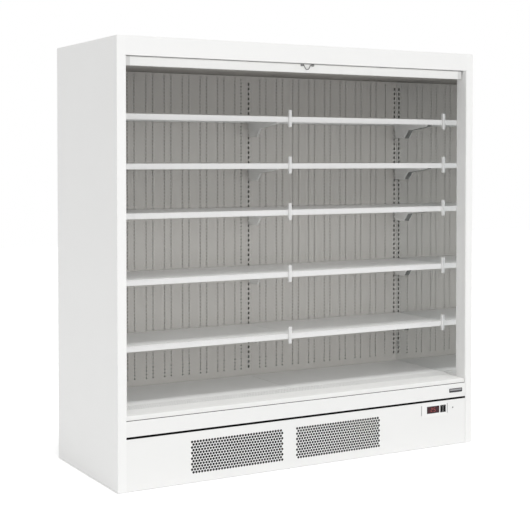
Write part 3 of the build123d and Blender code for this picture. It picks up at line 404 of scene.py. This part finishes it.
def extruded(section, low_x, high_x):
    """Points and faces of a closed section in setback and height, drawn out along the width."""
    count = len(section)
    points = [(x, y, z) for x in (low_x, high_x) for y, z in section]
    return points, quads(0, count, count) + [tuple(range(count)), tuple(range(count, 2 * count))]


def straight_bar(first, second, low_x, high_x):
    """Points and faces of a bar along the width, from two corners (setback, height)."""
    (near, foot), (far, head) = first, second
    return extruded([(near, foot), (far, foot), (far, head), (near, head)], low_x, high_x)


def joined(parts):
    """Several lists of points and faces as one."""
    points, faces = [], []
    for part_points, part_faces in parts:
        start = len(points)
        points += part_points
        faces += [tuple(i + start for i in face) for face in part_faces]
    return points, faces


# faces of one punched cell, with six points on its rim and then eight round the hole
PUNCHED_CELL = (
    (5, 0, 7, 6, 13), (0, 1, 8, 7), (1, 2, 9, 8), (2, 3, 11, 10, 9), (3, 4, 12, 11), (4, 5, 13, 12),
)


def punched_strip(columns, low, high, hole_rows, radius, place, left, right):
    """A flat strip with eight-sided holes, as points and faces.

    Each row of holes is (height of its centre, list of hole centres). A row is divided half way
    between its holes. place turns (across, up) into a point."""
    points, faces = [], []
    edges = [low] + [(a[0] + b[0]) / 2 for a, b in zip(hole_rows, hole_rows[1:])] + [high]
    for index, (centre_v, centres) in enumerate(hole_rows):
        bottom, top = edges[index], edges[index + 1]
        cuts = []
        for centre_u in centres:
            cuts += [centre_u - columns / 2, centre_u + columns / 2]
        walls = [left] + cuts + [right]
        # plain quads between the punched cells
        for start, stop in zip(walls[0::2], walls[1::2]):
            if stop - start > 1e-6:
                base = len(points)
                corners = ((start, bottom), (stop, bottom), (stop, top), (start, top))
                points += [place(u, v) for u, v in corners]
                faces.append((base, base + 1, base + 2, base + 3))
        for centre_u in centres:
            base = len(points)
            near, far = centre_u - columns / 2, centre_u + columns / 2
            rim = [(u, top) for u in (far, centre_u, near)]
            rim += [(u, bottom) for u in (near, centre_u, far)]
            points += [place(u, v) for u, v in rim]
            for turn in range(8):
                angle = math.tau * turn / 8
                across, up = radius * math.cos(angle), radius * math.sin(angle)
                points.append(place(centre_u + across, centre_v + up))
            faces += [tuple(base + corner for corner in face) for face in PUNCHED_CELL]
    return points, faces


def sheet_from(strip, gauge, inwards):
    """A flat strip given its real thickness on the side that inwards points to."""
    mesh = mesh_from("strip", *strip)
    facing = sum((face.normal * face.area for face in mesh.polygons), Vector()).dot(Vector(inwards))
    piece = bpy.data.objects.new("strip", mesh)
    bpy.context.scene.collection.objects.link(piece)
    thickened(piece, gauge, 1.0 if facing > 0 else -1.0)
    solid = piece.data
    bpy.data.objects.remove(piece)
    return solid


def joined_meshes(name, *meshes):
    """Several meshes as one."""
    work = bmesh.new()
    for mesh in meshes:
        work.from_mesh(mesh)
    made = bpy.data.meshes.new(name)
    work.to_mesh(made)
    work.free()
    return made


def thickened(piece, amount, offset):
    """Gives a sheet its real thickness, applied to the mesh."""
    solid = piece.modifiers.new("sheet", "SOLIDIFY")
    solid.thickness = amount
    solid.offset = offset
    solid.use_even_offset = True
    graph = bpy.context.evaluated_depsgraph_get()
    applied = bpy.data.meshes.new_from_object(piece.evaluated_get(graph))
    piece.modifiers.clear()
    piece.data = applied


def axes(axis):
    """An axis and two directions across it, each of length 1."""
    along = Vector(axis).normalized()
    across = along.orthogonal().normalized()
    return along, across, along.cross(across)


def turned(profile, centre, axis, steps=24):
    """Points and faces of a profile of (along, radius) turned round an axis through a centre."""
    along, across, third = axes(axis)
    points, faces = [], []
    for distance, radius in profile:
        for step in range(steps):
            angle = math.tau * step / steps
            reach = across * math.cos(angle) + third * math.sin(angle)
            points.append(tuple(Vector(centre) + along * distance + reach * radius))
    last = (len(profile) - 1) * steps
    for ring in range(0, last, steps):
        faces += quads(ring, ring + steps, steps)
    return points, faces + [tuple(range(steps)), tuple(range(last, last + steps))]


def rectangular_tube(centre_x, centre_z, outer, inner, front, back):
    """Points and faces of an upright frame. Outer and inner are its half widths and heights."""
    corners = ((-1, -1), (1, -1), (1, 1), (-1, 1))
    points = [
        (centre_x + u * half_x, y, centre_z + v * half_z)
        for y in (front, back) for half_x, half_z in (outer, inner) for u, v in corners
    ]
    return points, quads(0, 4, 4) + quads(8, 12, 4) + quads(0, 8, 4) + quads(4, 12, 4)


def screw_head(centre, axis, radius):
    """A pan-headed screw with a raised cross, seated on a face. The axis points out of the face."""
    dome = ((0.0, 1.0), (0.18, 1.0), (0.42, 0.86), (0.55, 0.5))
    profile = [(radius * up, radius * out) for up, out in dome]
    points, faces = turned(profile, centre, axis, 16)
    along, across, third = axes(axis)
    for first, second in ((across, third), (third, across)):
        start = len(points)
        for height in (0.5, 0.56):
            for u, v in ((-0.42, -0.08), (0.42, -0.08), (0.42, 0.08), (-0.42, 0.08)):
                reach = along * height + first * u + second * v
                points.append(tuple(Vector(centre) + reach * radius))
        faces += quads(start, start + 4, 4)
        faces += [tuple(range(start, start + 4)), tuple(range(start + 4, start + 8))]
    return points, faces


# ---------------------------------------------------------------- operators
class MULTIDECK_OT_shell(bpy.types.Operator):
    """Finish the foamed walls, roof, fascia, edge trims and mirror linings"""

    bl_idname = "multideck.shell"
    bl_label = "Shell"

    def execute(self, context):
        colours = context.scene.multideck_colours
        shell = enamel("shell_enamel", colours.shell)
        paint(shell, "left_end_panel", "right_end_panel", "rear_wall", "roof_panel")
        paint(enamel("fascia_enamel", colours.fascia, drift=0.01), "top_fascia")
        paint(plastic("trim_plastic", colours.trim, 0.42), "front_edge_trims")
        silver = metal("silvered_lining", (0.86, 0.87, 0.87), 0.03, 0.01, 0.0)
        paint(silver, "end_wall_mirrors")
        return {"FINISHED"}


class MULTIDECK_OT_canopy(bpy.types.Operator):
    """Finish the canopy's underside and the honeycomb of the air curtain"""

    bl_idname = "multideck.canopy"
    bl_label = "Canopy"

    def execute(self, context):
        colours = context.scene.multideck_colours
        paint(enamel("canopy_enamel", colours.canopy, 0.4, 0.05), "canopy_liner")
        paint(plastic("honeycomb_plastic", (0.16, 0.16, 0.16), 0.5), "air_outlet_grille")
        return {"FINISHED"}


class MULTIDECK_OT_back_panels(bpy.types.Operator):
    """Build the two punched back panels of the shelf space"""

    bl_idname = "multideck.back_panels"
    bl_label = "Back panels"

    def execute(self, context):
        sizes = context.scene.multideck_sizes
        low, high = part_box("rear_duct_panels")
        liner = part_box("canopy_liner")
        gauge = SHEET_GAUGE
        panel_face, bend = high.y - gauge, low.y
        bottom, top = low.z, high.z
        # the panels end beside the middle upright, with the holes set out from the edge of each bay
        inner, pairs = 0.0155, 12
        width = high.x - inner
        below_canopy, above_foot = 0.006, 0.02
        first_row = min(top, liner[0].z) - below_canopy
        count = int((first_row - bottom - above_foot) / sizes.row_pitch)
        cell = min(sizes.row_pitch, sizes.pair_gap)
        material = enamel("back_panel_enamel", context.scene.multideck_colours.back, 0.42, 0.03)
        for name, side in SIDES:
            start_x = inner if side > 0 else -high.x
            first = (0.0 if side > 0 else -BAY_WIDTH) + sizes.pair_start - start_x
            starts = [first + pair * sizes.pair_pitch for pair in range(pairs)]
            centres = [start + step for start in starts for step in (0.0, sizes.pair_gap)]
            centres = [centre for centre in centres if cell < centre < width - cell]
            rows = [(first_row - row * sizes.row_pitch, centres) for row in range(count)][::-1]
            strip = punched_strip(
                cell, bottom + gauge, top, rows, sizes.hole_radius,
                lambda u, v, x=start_x: (x + u, panel_face, v), 0.0, width,
            )
            label, end_x = f"back_panel_{name}", start_x + width
            foot = straight_bar((panel_face, bottom + gauge), (bend, bottom), start_x, end_x)
            sheet = sheet_from(strip, gauge, (0, 1, 0))
            mesh = joined_meshes(label, sheet, mesh_from("foot", *foot))
            add_piece(label, mesh, material, CABINET, ["rear_duct_panels"])
        paint(material, "shelf_uprights")
        return {"FINISHED"}


class MULTIDECK_OT_shelves(bpy.types.Operator):
    """Finish the shelves, their label strips and the base decks"""

    bl_idname = "multideck.shelves"
    bl_label = "Shelves"

    def execute(self, context):
        colours = context.scene.multideck_colours
        tray = enamel("shelf_enamel", colours.shelf, drift=0.03, dust=0.03)
        strip = plastic("label_strip_plastic", colours.strip, 0.22, 500.0, 0.02, 0.02)
        for name, _side in SIDES:
            paint(tray, f"base_deck_{name}", *[f"shelf_{level}_{name}" for level in LEVELS])
            paint(strip, *[f"ticket_strip_{level}_{name}" for level in LEVELS])
        return {"FINISHED"}


class MULTIDECK_OT_front_base(bpy.types.Operator):
    """Build the punched return air grille and finish ledge, bumper and lower front panel"""

    bl_idname = "multideck.front_base"
    bl_label = "Front of the base"

    def execute(self, context):
        colours, sizes = context.scene.multideck_colours, context.scene.multideck_sizes
        sill = enamel("sill_enamel", colours.sill, drift=0.02)
        white = enamel("front_enamel", colours.front, drift=0.01)
        paint(sill, "front_ledge")
        bumper = plastic("bumper_plastic", colours.front, 0.3, 600.0, 0.02, 0.01)
        paint(bumper, "front_bumper")
        paint(white, "lower_front_panel")
        paint(enamel("tub_enamel", colours.shelf), "insulated_tub")
        # the grille slopes up from the ledge to the deck, with a flange at each edge
        low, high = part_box("return_air_grille")
        ledge_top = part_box("front_ledge")[1].z
        gauge = SHEET_GAUGE
        deck_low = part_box("base_deck_left")[0]
        deck_gap, seat_gap = 0.0005, 0.0003
        near, far = Vector((low.y, ledge_top)), Vector((deck_low.y - deck_gap, high.z))
        slope = far - near
        run, width = slope.length, high.x - low.x
        pitch = sizes.grille_pitch
        row_pitch = pitch * math.cos(math.radians(30))
        margin = 0.004
        count = int((run - 2 * margin) / row_pitch)
        start_v = (run - (count - 1) * row_pitch) / 2
        columns = int(width / pitch) - 2
        rows = []
        for row in range(count):
            shift = pitch / 2 * (row % 2)
            start_u = (width - columns * pitch) / 2 + shift
            centres = [start_u + column * pitch for column in range(columns)]
            rows.append((start_v + row * row_pitch, centres))

        def place(u, v):
            at = near + slope * (v / run)
            return (low.x + u, at.x, at.y)

        strip = punched_strip(pitch, 0.0, run, rows, sizes.grille_radius, place, 0.0, width)
        seat = deck_low.z - seat_gap
        rear = [
            far, (far.x, seat), (high.y, seat), (high.y, seat - gauge),
            (far.x - gauge, seat - gauge), (far.x - gauge, far.y - gauge),
        ]
        front = [near, (near.x, low.z), (near.x + gauge, low.z), (near.x + gauge, near.y - gauge)]
        mesh = joined_meshes(
            "return_grille",
            sheet_from(strip, gauge, (0, 0, -1)),
            mesh_from("rear", *extruded(rear, low.x, high.x)),
            mesh_from("front", *extruded(front, low.x, high.x)),
        )
        add_piece("return_grille", mesh, sill, CABINET, ["return_air_grille"])
        return {"FINISHED"}


class MULTIDECK_OT_hole_shades(bpy.types.Operator):
    """Build black rims round the holes of the lower front panel and black linings in them: painted
    shade of the dark space behind the holes
    """

    bl_idname = "multideck.hole_edges"
    bl_label = "Hole edges"

    def execute(self, context):
        low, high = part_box("lower_front_panel")
        rim, wall, proud = 0.0006, 0.0002, 0.00015
        outer, inner, face = FIELD_HOLE_RADIUS + rim, FIELD_HOLE_RADIUS - wall, low.y - proud
        section = [(outer, face), (inner, face), (inner, low.y + SHEET_GAUGE)]
        steps = 16
        angles = [math.tau * step / steps for step in range(steps)]
        directions = [(math.cos(angle), math.sin(angle)) for angle in angles]
        places = [
            (start + (column + row % 2 / 2) * FIELD_PITCH,
             high.z - FIELD_DROP - row * FIELD_PITCH * math.cos(math.radians(30)))
            for start in FIELD_STARTS
            for row in range(FIELD_ROWS)
            for column in range(FIELD_COLUMNS)
        ]
        points, faces = [], []
        for x, z in places:
            base = len(points)
            for reach, y in section:
                points += [(x + reach * u, y, z + reach * v) for u, v in directions]
            for ring in range(3):
                faces += quads(base + ring * steps, base + (ring + 1) % 3 * steps, steps)
        # black rims on the face round each hole and black linings inside them, with a weak
        # reflection: painted shade of the space behind the holes
        hole_black = dulled(plastic("hole_shade_black", (0.012, 0.012, 0.012), 0.6), 0.2)
        add_solid("hole_shades", (points, faces), hole_black, CABINET)
        return {"FINISHED"}


class MULTIDECK_OT_gap_shades(bpy.types.Operator):
    """Build the black strip behind the gap under the bumper, painted shade of the gap, and the dark
    grey bead at the ledge's foot, painted shade of the seam
    """

    bl_idname = "multideck.gaskets"
    bl_label = "Gap shades"

    def execute(self, context):
        skirt_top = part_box("lower_front_panel")[1].z
        bumper_low, bumper_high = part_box("front_bumper")
        # near-black, nearly unreflecting strip with a rib, behind the gap under the bumper: painted
        # shade of the gap
        gap_black = dulled(plastic("gap_shade_black", (0.006, 0.006, 0.006), 0.75, 700.0, 0.1), 0.05)
        tub_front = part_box("insulated_tub")[0].y
        recess, clearance, rib = 0.002, 0.0002, 0.0015
        face = bumper_low.y + recess
        low_z, high_z = skirt_top + clearance, bumper_low.z - clearance
        middle = (low_z + high_z) / 2
        section = [
            (tub_front, low_z), (face, low_z), (face, middle - rib), (face + rib, middle),
            (face, middle + rib), (face, high_z), (tub_front, high_z),
        ]
        solid = extruded(section, bumper_low.x, bumper_high.x)
        add_solid("bumper_gap_shade", solid, gap_black, CABINET, smooth=True)
        # rounded dark grey bead in the corner between the bumper's top and the riser of the ledge:
        # painted shade of the seam
        riser, foot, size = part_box("front_ledge")[0].y, bumper_high.z, 0.0024
        angles = [math.pi / 12 * turn for turn in range(7)]
        arc = [(size * math.cos(turn), size * math.sin(turn)) for turn in angles]
        section = [(riser, foot)] + [(riser - out, foot + up) for out, up in arc]
        grey = plastic("seam_shade_grey", (0.05, 0.05, 0.05), 0.6, 700.0, 0.1)
        solid = extruded(section, bumper_low.x, bumper_high.x)
        add_solid("ledge_seam_shade", solid, grey, CABINET, smooth=True)
        return {"FINISHED"}


class MULTIDECK_OT_controls(bpy.types.Operator):
    """Finish the control panel, build the display's lit digits and the bare name plate"""

    bl_idname = "multideck.controls"
    bl_label = "Controls"

    def execute(self, context):
        colours = context.scene.multideck_colours
        bezel = plastic("bezel_plastic", colours.fascia, 0.3, 700.0, 0.03, 0.01)
        paint(bezel, "controller_housing")
        window = plastic("display_window", colours.window, 0.12, 300.0, 0.0, 0.1)
        paint(dulled(window, 0.25), "controller_display")
        black = dulled(plastic("switch_plastic", (0.008, 0.008, 0.009), 0.4, 800.0, 0.04), 0.25)
        paint(black, "rocker_switch_left", "rocker_switch_right")
        # black linings of the two wells that the rockers sit in, each with a flange
        bezel_low, bezel_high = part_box("controller_housing")
        bezel_face = bezel_low.y
        lining_depth, flange_gauge = 0.008, 0.0005
        well, lining, flange = (0.00635, 0.01635), (0.0065, 0.0165), (0.0082, 0.0182)
        linings = []
        for name, _side in SIDES:
            low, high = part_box(f"rocker_switch_{name}")
            centre = (low.x + high.x) / 2, bezel_low.z + ROCKER_RISE
            linings += [
                rectangular_tube(*centre, lining, well, bezel_face, bezel_face + lining_depth),
                rectangular_tube(*centre, flange, well, bezel_face - flange_gauge, bezel_face),
            ]
        add_solid("rocker_wells", joined(linings), black, CABINET)
        # dark grey strips at the ends of the bezel, the right one wider: painted shade of the
        # bezel's end edges
        middle, half_height = (bezel_low.z + bezel_high.z) / 2 + 0.002, 0.0245
        shade_front, shade_back = bezel_face - 0.0003, bezel_face + 0.0012
        shade_foot, shade_head = middle - half_height, middle + half_height
        end_shades = [
            straight_bar((shade_front, shade_foot), (shade_back, shade_head), near, far)
            for near, far in (
                (bezel_low.x - 0.0008, bezel_low.x + 0.0004),
                (bezel_high.x - 0.001, bezel_high.x + 0.002),
            )
        ]
        end_shade_grey = plastic("bezel_end_shade_grey", (0.13, 0.13, 0.135), 0.45)
        add_solid("bezel_end_shades", joined(end_shades), end_shade_grey, CABINET)
        # black rim of the display's window
        low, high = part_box("controller_display")
        display_x, display_z, face = (low.x + high.x) / 2, (low.z + high.z) / 2, low.y
        rim_width, rim_gauge = 0.0022, 0.0002
        half = ((high.x - low.x) / 2, (high.z - low.z) / 2)
        opening = (half[0] - rim_width, half[1] - rim_width)
        rim = rectangular_tube(display_x, display_z, half, opening, face - rim_gauge, face)
        add_solid("display_rim", rim, black, CABINET)
        paint(metal("name_plate_metal", colours.plate, 0.35, 0.15), "name_plate")
        # lighter satin band in the plate's field
        low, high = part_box("name_plate")
        band_front, band_back, inset = low.y + 0.0002, low.y + 0.0005, 0.004
        band_foot, band_head = low.z + 0.0085, high.z - 0.0035
        band = straight_bar(
            (band_front, band_foot), (band_back, band_head), low.x + inset, high.x - inset
        )
        satin = metal("plate_band_metal", (0.30, 0.30, 0.305), 0.4, 0.15)
        add_solid("plate_band", band, satin, CABINET)
        # the display's lit digits, with a point between them
        lit = plastic("display_digits", (0.16, 0.02, 0.02), 0.4)
        shader = lit.node_tree.nodes["Principled BSDF"]
        shader.inputs["Emission Color"].default_value = (*colours.digits, 1)
        shader.inputs["Emission Strength"].default_value = 0.32
        tall, wide, bar, spacing, raised = 0.018, 0.0095, 0.0021, 0.009, 0.0002
        segments = {"2": "abged", "5": "afgcd"}
        outline = {
            "a": (0, tall / 2, True), "g": (0, 0, True), "d": (0, -tall / 2, True),
            "f": (-wide / 2, tall / 4, False), "b": (wide / 2, tall / 4, False),
            "e": (-wide / 2, -tall / 4, False), "c": (wide / 2, -tall / 4, False),
        }
        parts = []
        for digit, offset in (("2", -spacing), ("5", spacing)):
            for segment in segments[digit]:
                along, up, level = outline[segment]
                half_long = (wide / 2 if level else tall / 4) - bar * 0.35
                tip = bar / 2
                ring = [
                    (-half_long, 0), (-half_long + tip, tip), (half_long - tip, tip),
                    (half_long, 0), (half_long - tip, -tip), (-half_long + tip, -tip),
                ]
                if not level:
                    ring = [(v, u) for u, v in ring]
                points = [
                    (display_x + offset + along + u, face - depth, display_z + up + v)
                    for depth in (0.0, raised) for u, v in ring
                ]
                faces = quads(0, 6, 6) + [tuple(range(6)), tuple(range(6, 12))]
                parts.append((points, faces))
        dot_radius, dot_shift = bar * 0.6, 0.0005
        dot = turned(
            [(0.0, dot_radius), (raised, dot_radius)],
            (display_x + dot_shift, face, display_z - tall / 2), (0, -1, 0), 10,
        )
        add_solid("display_digits", joined(parts + [dot]), lit, CABINET)
        return {"FINISHED"}


class MULTIDECK_OT_blind(bpy.types.Operator):
    """Build the night blind's hanging cloth and wound roll, and finish its bar and handle"""

    bl_idname = "multideck.blind"
    bl_label = "Night blind"

    def execute(self, context):
        colours, sizes = context.scene.multideck_colours, context.scene.multideck_sizes
        fabric = cloth("blind_cloth", colours.cloth)
        paint(enamel("pull_bar_enamel", colours.pull_bar, drift=0.01), "blind_pull_bar")
        paint(metal("handle_wire_plating", (0.12, 0.12, 0.115), 0.35), "blind_handle")
        # hanging cloth, in rows that spread as the bar goes down
        low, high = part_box("blind_sheet")
        rows, cloth_share, layer_share = sizes.cloth_rows, 0.9, 0.55
        middle_y = (low.y + high.y) / 2
        points = []
        for row in range(rows + 1):
            z = high.z + (low.z - high.z) * row / rows
            points += [(x, middle_y, z) for x in (low.x, 0.0, high.x)]
        faces = []
        for row in range(rows):
            for column in range(2):
                start = row * 3 + column
                faces.append((start, start + 1, start + 4, start + 3))
        solid, replaced = (points, faces), ["blind_sheet"]
        hanging = add_solid("blind_cloth", solid, fabric, None, replaced, smooth=True)
        thickened(hanging, (high.y - low.y) * cloth_share, 0.0)
        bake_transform(hanging)
        # wound cloth, as a spiral of layers round the tube
        roll_low, roll_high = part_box("blind_roller")
        centre_y, centre_z = (roll_low.y + roll_high.y) / 2, (roll_low.z + roll_high.z) / 2
        pin, tube, tube_wall = 0.005, 0.02, 0.0002
        outer, inner = (roll_high.z - roll_low.z) / 2, tube + tube_wall
        turns, steps = 6, 28
        gap = (outer - inner) / turns
        section = []
        for step in range(turns * steps + 1):
            angle = math.tau * step / steps
            radius = outer - gap * step / steps
            back, down = radius * math.cos(angle), radius * math.sin(angle)
            section.append((centre_y - back, centre_z - down))
        points = [(x, y, z) for x in (low.x, high.x) for y, z in section]
        count = len(section)
        faces = [(i, i + 1, i + 1 + count, i + count) for i in range(count - 1)]
        solid, replaced, roller = (points, faces), ["blind_roller"], "blind_roller_tube"
        roll = add_solid("blind_roll", solid, fabric, roller, replaced, smooth=True)
        thickened(roll, gap * layer_share, 0.0)
        # the tube under it, with a pin and a bevel at each end
        pin_bevel, pin_length, tube_bevel = 0.0005, 0.005, 0.001
        end = (
            (0.0, pin - pin_bevel), (pin_bevel, pin), (pin_length, pin),
            (pin_length, tube - tube_bevel), (pin_length + tube_bevel, tube),
        )
        profile = [(roll_low.x + along, radius) for along, radius in end]
        profile += [(roll_high.x - along, radius) for along, radius in reversed(end)]
        solid = turned(profile, (0, centre_y, centre_z), (1, 0, 0), 32)
        tube_metal = metal("roller_tube_metal", (0.72, 0.73, 0.74), 0.35)
        add_solid("roller_tube", solid, tube_metal, roller, smooth=True)
        # end caps of the pull bar, slipped over its ends
        bar_low, bar_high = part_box("blind_pull_bar")
        cap_plastic = plastic("bar_cap_plastic", colours.bar_cap, 0.4)
        depth, length_in, over, wall, inside_gap = 0.021, 0.022, 0.0004, 0.0008, 0.0001
        front = bar_high.y - depth
        for name, side, end in (("left", -1, bar_low.x), ("right", 1, bar_high.x)):
            rings = []
            for grow, cut in ((over, 0.002), (0.0, 0.003)):
                low_y, high_y = front - grow, bar_high.y + grow
                low_z, high_z = bar_low.z - grow, bar_high.z + grow
                rings.append([
                    (low_y + cut, low_z), (low_y, low_z + cut),
                    (low_y, high_z - cut), (low_y + cut, high_z),
                    (high_y - cut, high_z), (high_y, high_z - cut),
                    (high_y, low_z + cut), (high_y - cut, low_z),
                ])
            mouth, inside = end - side * length_in, end + side * inside_gap
            outside = end + side * wall
            stations = ((inside, 1), (mouth, 1), (mouth, 0), (outside, 0))
            points = [(x, y, z) for x, ring in stations for y, z in rings[ring]]
            faces = quads(0, 8, 8) + quads(8, 16, 8) + quads(16, 24, 8)
            faces += [tuple(range(8)), tuple(range(24, 32))]
            add_solid(f"bar_cap_{name}", (points, faces), cap_plastic, "blind_bar")
        # dark clips over the lugs of the handle, each with a screw
        handle_low, handle_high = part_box("blind_handle")
        wire_radius, lug_inset, half_width, head_radius = 0.0015, 0.007, 0.0072, 0.0024
        middle_z = handle_high.z - wire_radius
        lug_front = bar_low.y
        reach, gauge = 0.004, 0.0003
        clip_front, over = lug_front - gauge, reach + gauge
        section = [
            (front, middle_z + over), (clip_front, middle_z + over),
            (clip_front, middle_z - over), (front, middle_z - over),
            (front, middle_z - reach), (lug_front, middle_z - reach),
            (lug_front, middle_z + reach), (front, middle_z + reach),
        ]
        clips, heads = [], []
        for centre_x in (handle_low.x + lug_inset, handle_high.x - lug_inset):
            clips.append(extruded(section, centre_x - half_width, centre_x + half_width))
            heads.append(screw_head((centre_x, clip_front, middle_z), (0, -1, 0), head_radius))
        clip_plastic = plastic("handle_clip_plastic", (0.045, 0.045, 0.048), 0.4)
        add_solid("handle_clips", joined(clips), clip_plastic, "blind_bar")
        bright = metal("clip_screw_plating", (0.6, 0.6, 0.6), 0.3)
        heads = joined(heads)
        add_solid("handle_clip_screws", heads, bright, "blind_bar", smooth=True)
        return {"FINISHED"}


class MULTIDECK_OT_machine(bpy.types.Operator):
    """Finish the frame, feet, refrigeration parts and the mains inlet"""

    bl_idname = "multideck.machine"
    bl_label = "Machine parts"

    def execute(self, context):
        zinc = metal("zinc_plating", (0.55, 0.56, 0.57), 0.42, 0.35)
        paint(zinc, "levelling_feet", "evaporator_fan_plate")
        # near-black, dulled enamel on the frame, condenser fan shroud and condenser coil: a black
        # paint, and also painted shade of the dark machine bay seen through the front holes
        black_paint_and_shade = dulled(enamel("frame_black_and_shade", (0.018, 0.018, 0.019), 0.5), 0.2)
        paint(black_paint_and_shade, "base_frame", "condenser_fan_shroud", "condenser_coil")
        paint(metal("fin_aluminium", (0.78, 0.79, 0.80), 0.3, 0.1), "evaporator_coil")
        black = plastic("fan_plastic", (0.02, 0.02, 0.022), 0.42)
        paint(black, "evaporator_fan_left", "evaporator_fan_right", "condenser_fan", "mains_inlet")
        paint(plastic("tray_plastic", (0.05, 0.05, 0.055), 0.5), "evaporation_tray")
        paint(enamel("compressor_enamel", (0.012, 0.012, 0.013), 0.3), "compressor")
        paint(metal("copper_tube", (0.20, 0.11, 0.08), 0.5, 0.3), "refrigerant_pipes")
        return {"FINISHED"}


class MULTIDECK_OT_screws(bpy.types.Operator):
    """Build the screws of the lower front panel and the rear apron"""

    bl_idname = "multideck.screws"
    bl_label = "Screws"

    def execute(self, context):
        radius = context.scene.multideck_sizes.screw_radius
        plated = metal("screw_plating", (0.3, 0.3, 0.3), 0.35)
        front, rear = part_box("lower_front_panel")[0].y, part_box("rear_wall")[1].y
        front_place, rear_spacing, rear_heights = (0.857, 0.1915), 0.46, (0.022, 0.2)
        heads = [screw_head((front_place[0], front, front_place[1]), (0, -1, 0), radius)]
        for step in range(-2, 3):
            for z in rear_heights:
                heads.append(screw_head((step * rear_spacing, rear, z), (0, 1, 0), radius))
        add_solid("panel_screws", joined(heads), plated, CABINET, smooth=True)
        return {"FINISHED"}


def seen_directly(tree, *more):
    """1 for camera and glossy rays and for the further kinds named, 0 for the rest."""
    rays = tree.nodes.new("ShaderNodeLightPath").outputs
    seen = math_node(tree, "MAXIMUM", rays["Is Camera Ray"], rays["Is Glossy Ray"])
    for kind in more:
        seen = math_node(tree, "MAXIMUM", seen, rays[kind])
    return seen


def stand(name, data, place=(0, 0, 0)):
    """Puts the floor, a lamp or the camera into the scene."""
    made = bpy.data.objects.new(name, data)
    bpy.context.scene.collection.objects.link(made)
    made.location = place
    return made


class MULTIDECK_OT_stage(bpy.types.Operator):
    """Set the floor, soft studio light and the camera"""

    bl_idname = "multideck.stage"
    bl_label = "Stage"

    def execute(self, context):
        scene, studio = context.scene, context.scene.multideck_studio
        scene.view_settings.view_transform = "Standard"
        # floor: lit by the lamps, with enough of its own light for a white background
        reach, white = 14.0, (1, 1, 1, 1)
        corners = [(u * reach, v * reach, 0) for u, v in ((-1, -1), (1, -1), (1, 1), (-1, 1))]
        mesh = bpy.data.meshes.new("floor")
        mesh.from_pydata(corners, [], [(0, 1, 2, 3)])
        floor = stand("floor", mesh)
        pale = bpy.data.materials.new("studio_floor")
        pale.use_nodes = True
        tree = pale.node_tree
        shader = tree.nodes["Principled BSDF"]
        shader.inputs["Base Color"].default_value = (*studio.floor, 1)
        shader.inputs["Roughness"].default_value = 0.9
        shader.inputs["Specular IOR Level"].default_value = 0.0
        lift = math_node(tree, "MULTIPLY", seen_directly(tree), studio.lift)
        shader.inputs["Emission Color"].default_value = white
        tree.links.new(lift, shader.inputs["Emission Strength"])
        mesh.materials.append(pale)
        # world: even light, seen as white
        world = bpy.data.worlds.new("studio")
        scene.world = world
        world.use_nodes = True
        tree = world.node_tree
        sky = tree.nodes["Background"]
        sky.inputs["Color"].default_value = white
        seen = seen_directly(tree, "Is Transmission Ray")
        rest = math_node(tree, "MULTIPLY", seen, 1.0 - studio.sky)
        tree.links.new(math_node(tree, "ADD", rest, studio.sky), sky.inputs["Strength"])
        # key light before the front, a little to the left
        lamp = bpy.data.lights.new("key", "AREA")
        lamp.shape, lamp.size, lamp.size_y = "RECTANGLE", 4.6, 3.2
        lamp.energy = studio.key
        key = stand("key", lamp, (-1.4, -7.0, 3.0))
        aim = Vector((0, -0.2, 1.0)) - key.location
        key.rotation_euler = aim.to_track_quat("-Z", "Y").to_euler()
        # top light, steep enough to reach the ledge under the canopy
        lamp = bpy.data.lights.new("top", "SUN")
        lamp.energy, lamp.angle = studio.top, math.radians(20)
        top = stand("top", lamp)
        top.rotation_euler = Vector((0, 0.22, -1)).to_track_quat("-Z", "Y").to_euler()
        # camera at the photograph's angle
        lens = bpy.data.cameras.new("camera")
        lens.lens = studio.lens
        lens.shift_y = studio.shift
        camera = stand("camera", lens, (-3.0108, -5.1859, 1.447))
        camera.rotation_euler = (math.radians(88.5403), 0, math.radians(-29.8647))
        scene.camera = camera
        return {"FINISHED"}


OPERATORS = (
    MULTIDECK_OT_stage,
    MULTIDECK_OT_shell,
    MULTIDECK_OT_canopy,
    MULTIDECK_OT_back_panels,
    MULTIDECK_OT_shelves,
    MULTIDECK_OT_front_base,
    MULTIDECK_OT_hole_shades,
    MULTIDECK_OT_gap_shades,
    MULTIDECK_OT_controls,
    MULTIDECK_OT_blind,
    MULTIDECK_OT_machine,
    MULTIDECK_OT_screws,
)


class MULTIDECK_PT_panel(bpy.types.Panel):
    """Lists the pieces and their settings."""

    bl_idname = "MULTIDECK_PT_panel"
    bl_label = "Open multideck refrigerator"
    bl_space_type = "VIEW_3D"
    bl_region_type = "UI"
    bl_category = "Multideck"

    def draw(self, context):
        for setting, _group in SETTINGS:
            group = getattr(context.scene, setting)
            box = self.layout.box()
            for name in group.__annotations__:
                box.prop(group, name)
        for operator in OPERATORS:
            self.layout.operator(operator.bl_idname)


SETTINGS = (
    ("multideck_colours", CabinetColours),
    ("multideck_sizes", CabinetSizes),
    ("multideck_studio", StudioSettings),
)


def register():
    """Registers the settings, operators and panel."""
    for name, group in SETTINGS:
        bpy.utils.register_class(group)
        setattr(bpy.types.Scene, name, bpy.props.PointerProperty(type=group))
    for shown in (*OPERATORS, MULTIDECK_PT_panel):
        bpy.utils.register_class(shown)


def unregister():
    """Removes them again."""
    for shown in (MULTIDECK_PT_panel, *reversed(OPERATORS)):
        bpy.utils.unregister_class(shown)
    for name, group in reversed(SETTINGS):
        delattr(bpy.types.Scene, name)
        bpy.utils.unregister_class(group)


def main():
    """Dresses the cabinet."""
    register()
    GROUPS["enamel"] = build_enamel_group()
    GROUPS["moulding"] = build_moulding_group()
    GROUPS["metal"] = build_metal_group()
    GROUPS["weave"] = build_weave_group()
    for operator in OPERATORS:
        family, action = operator.bl_idname.split(".")
        getattr(getattr(bpy.ops, family), action)()


if __name__ == "__main__":
    main()
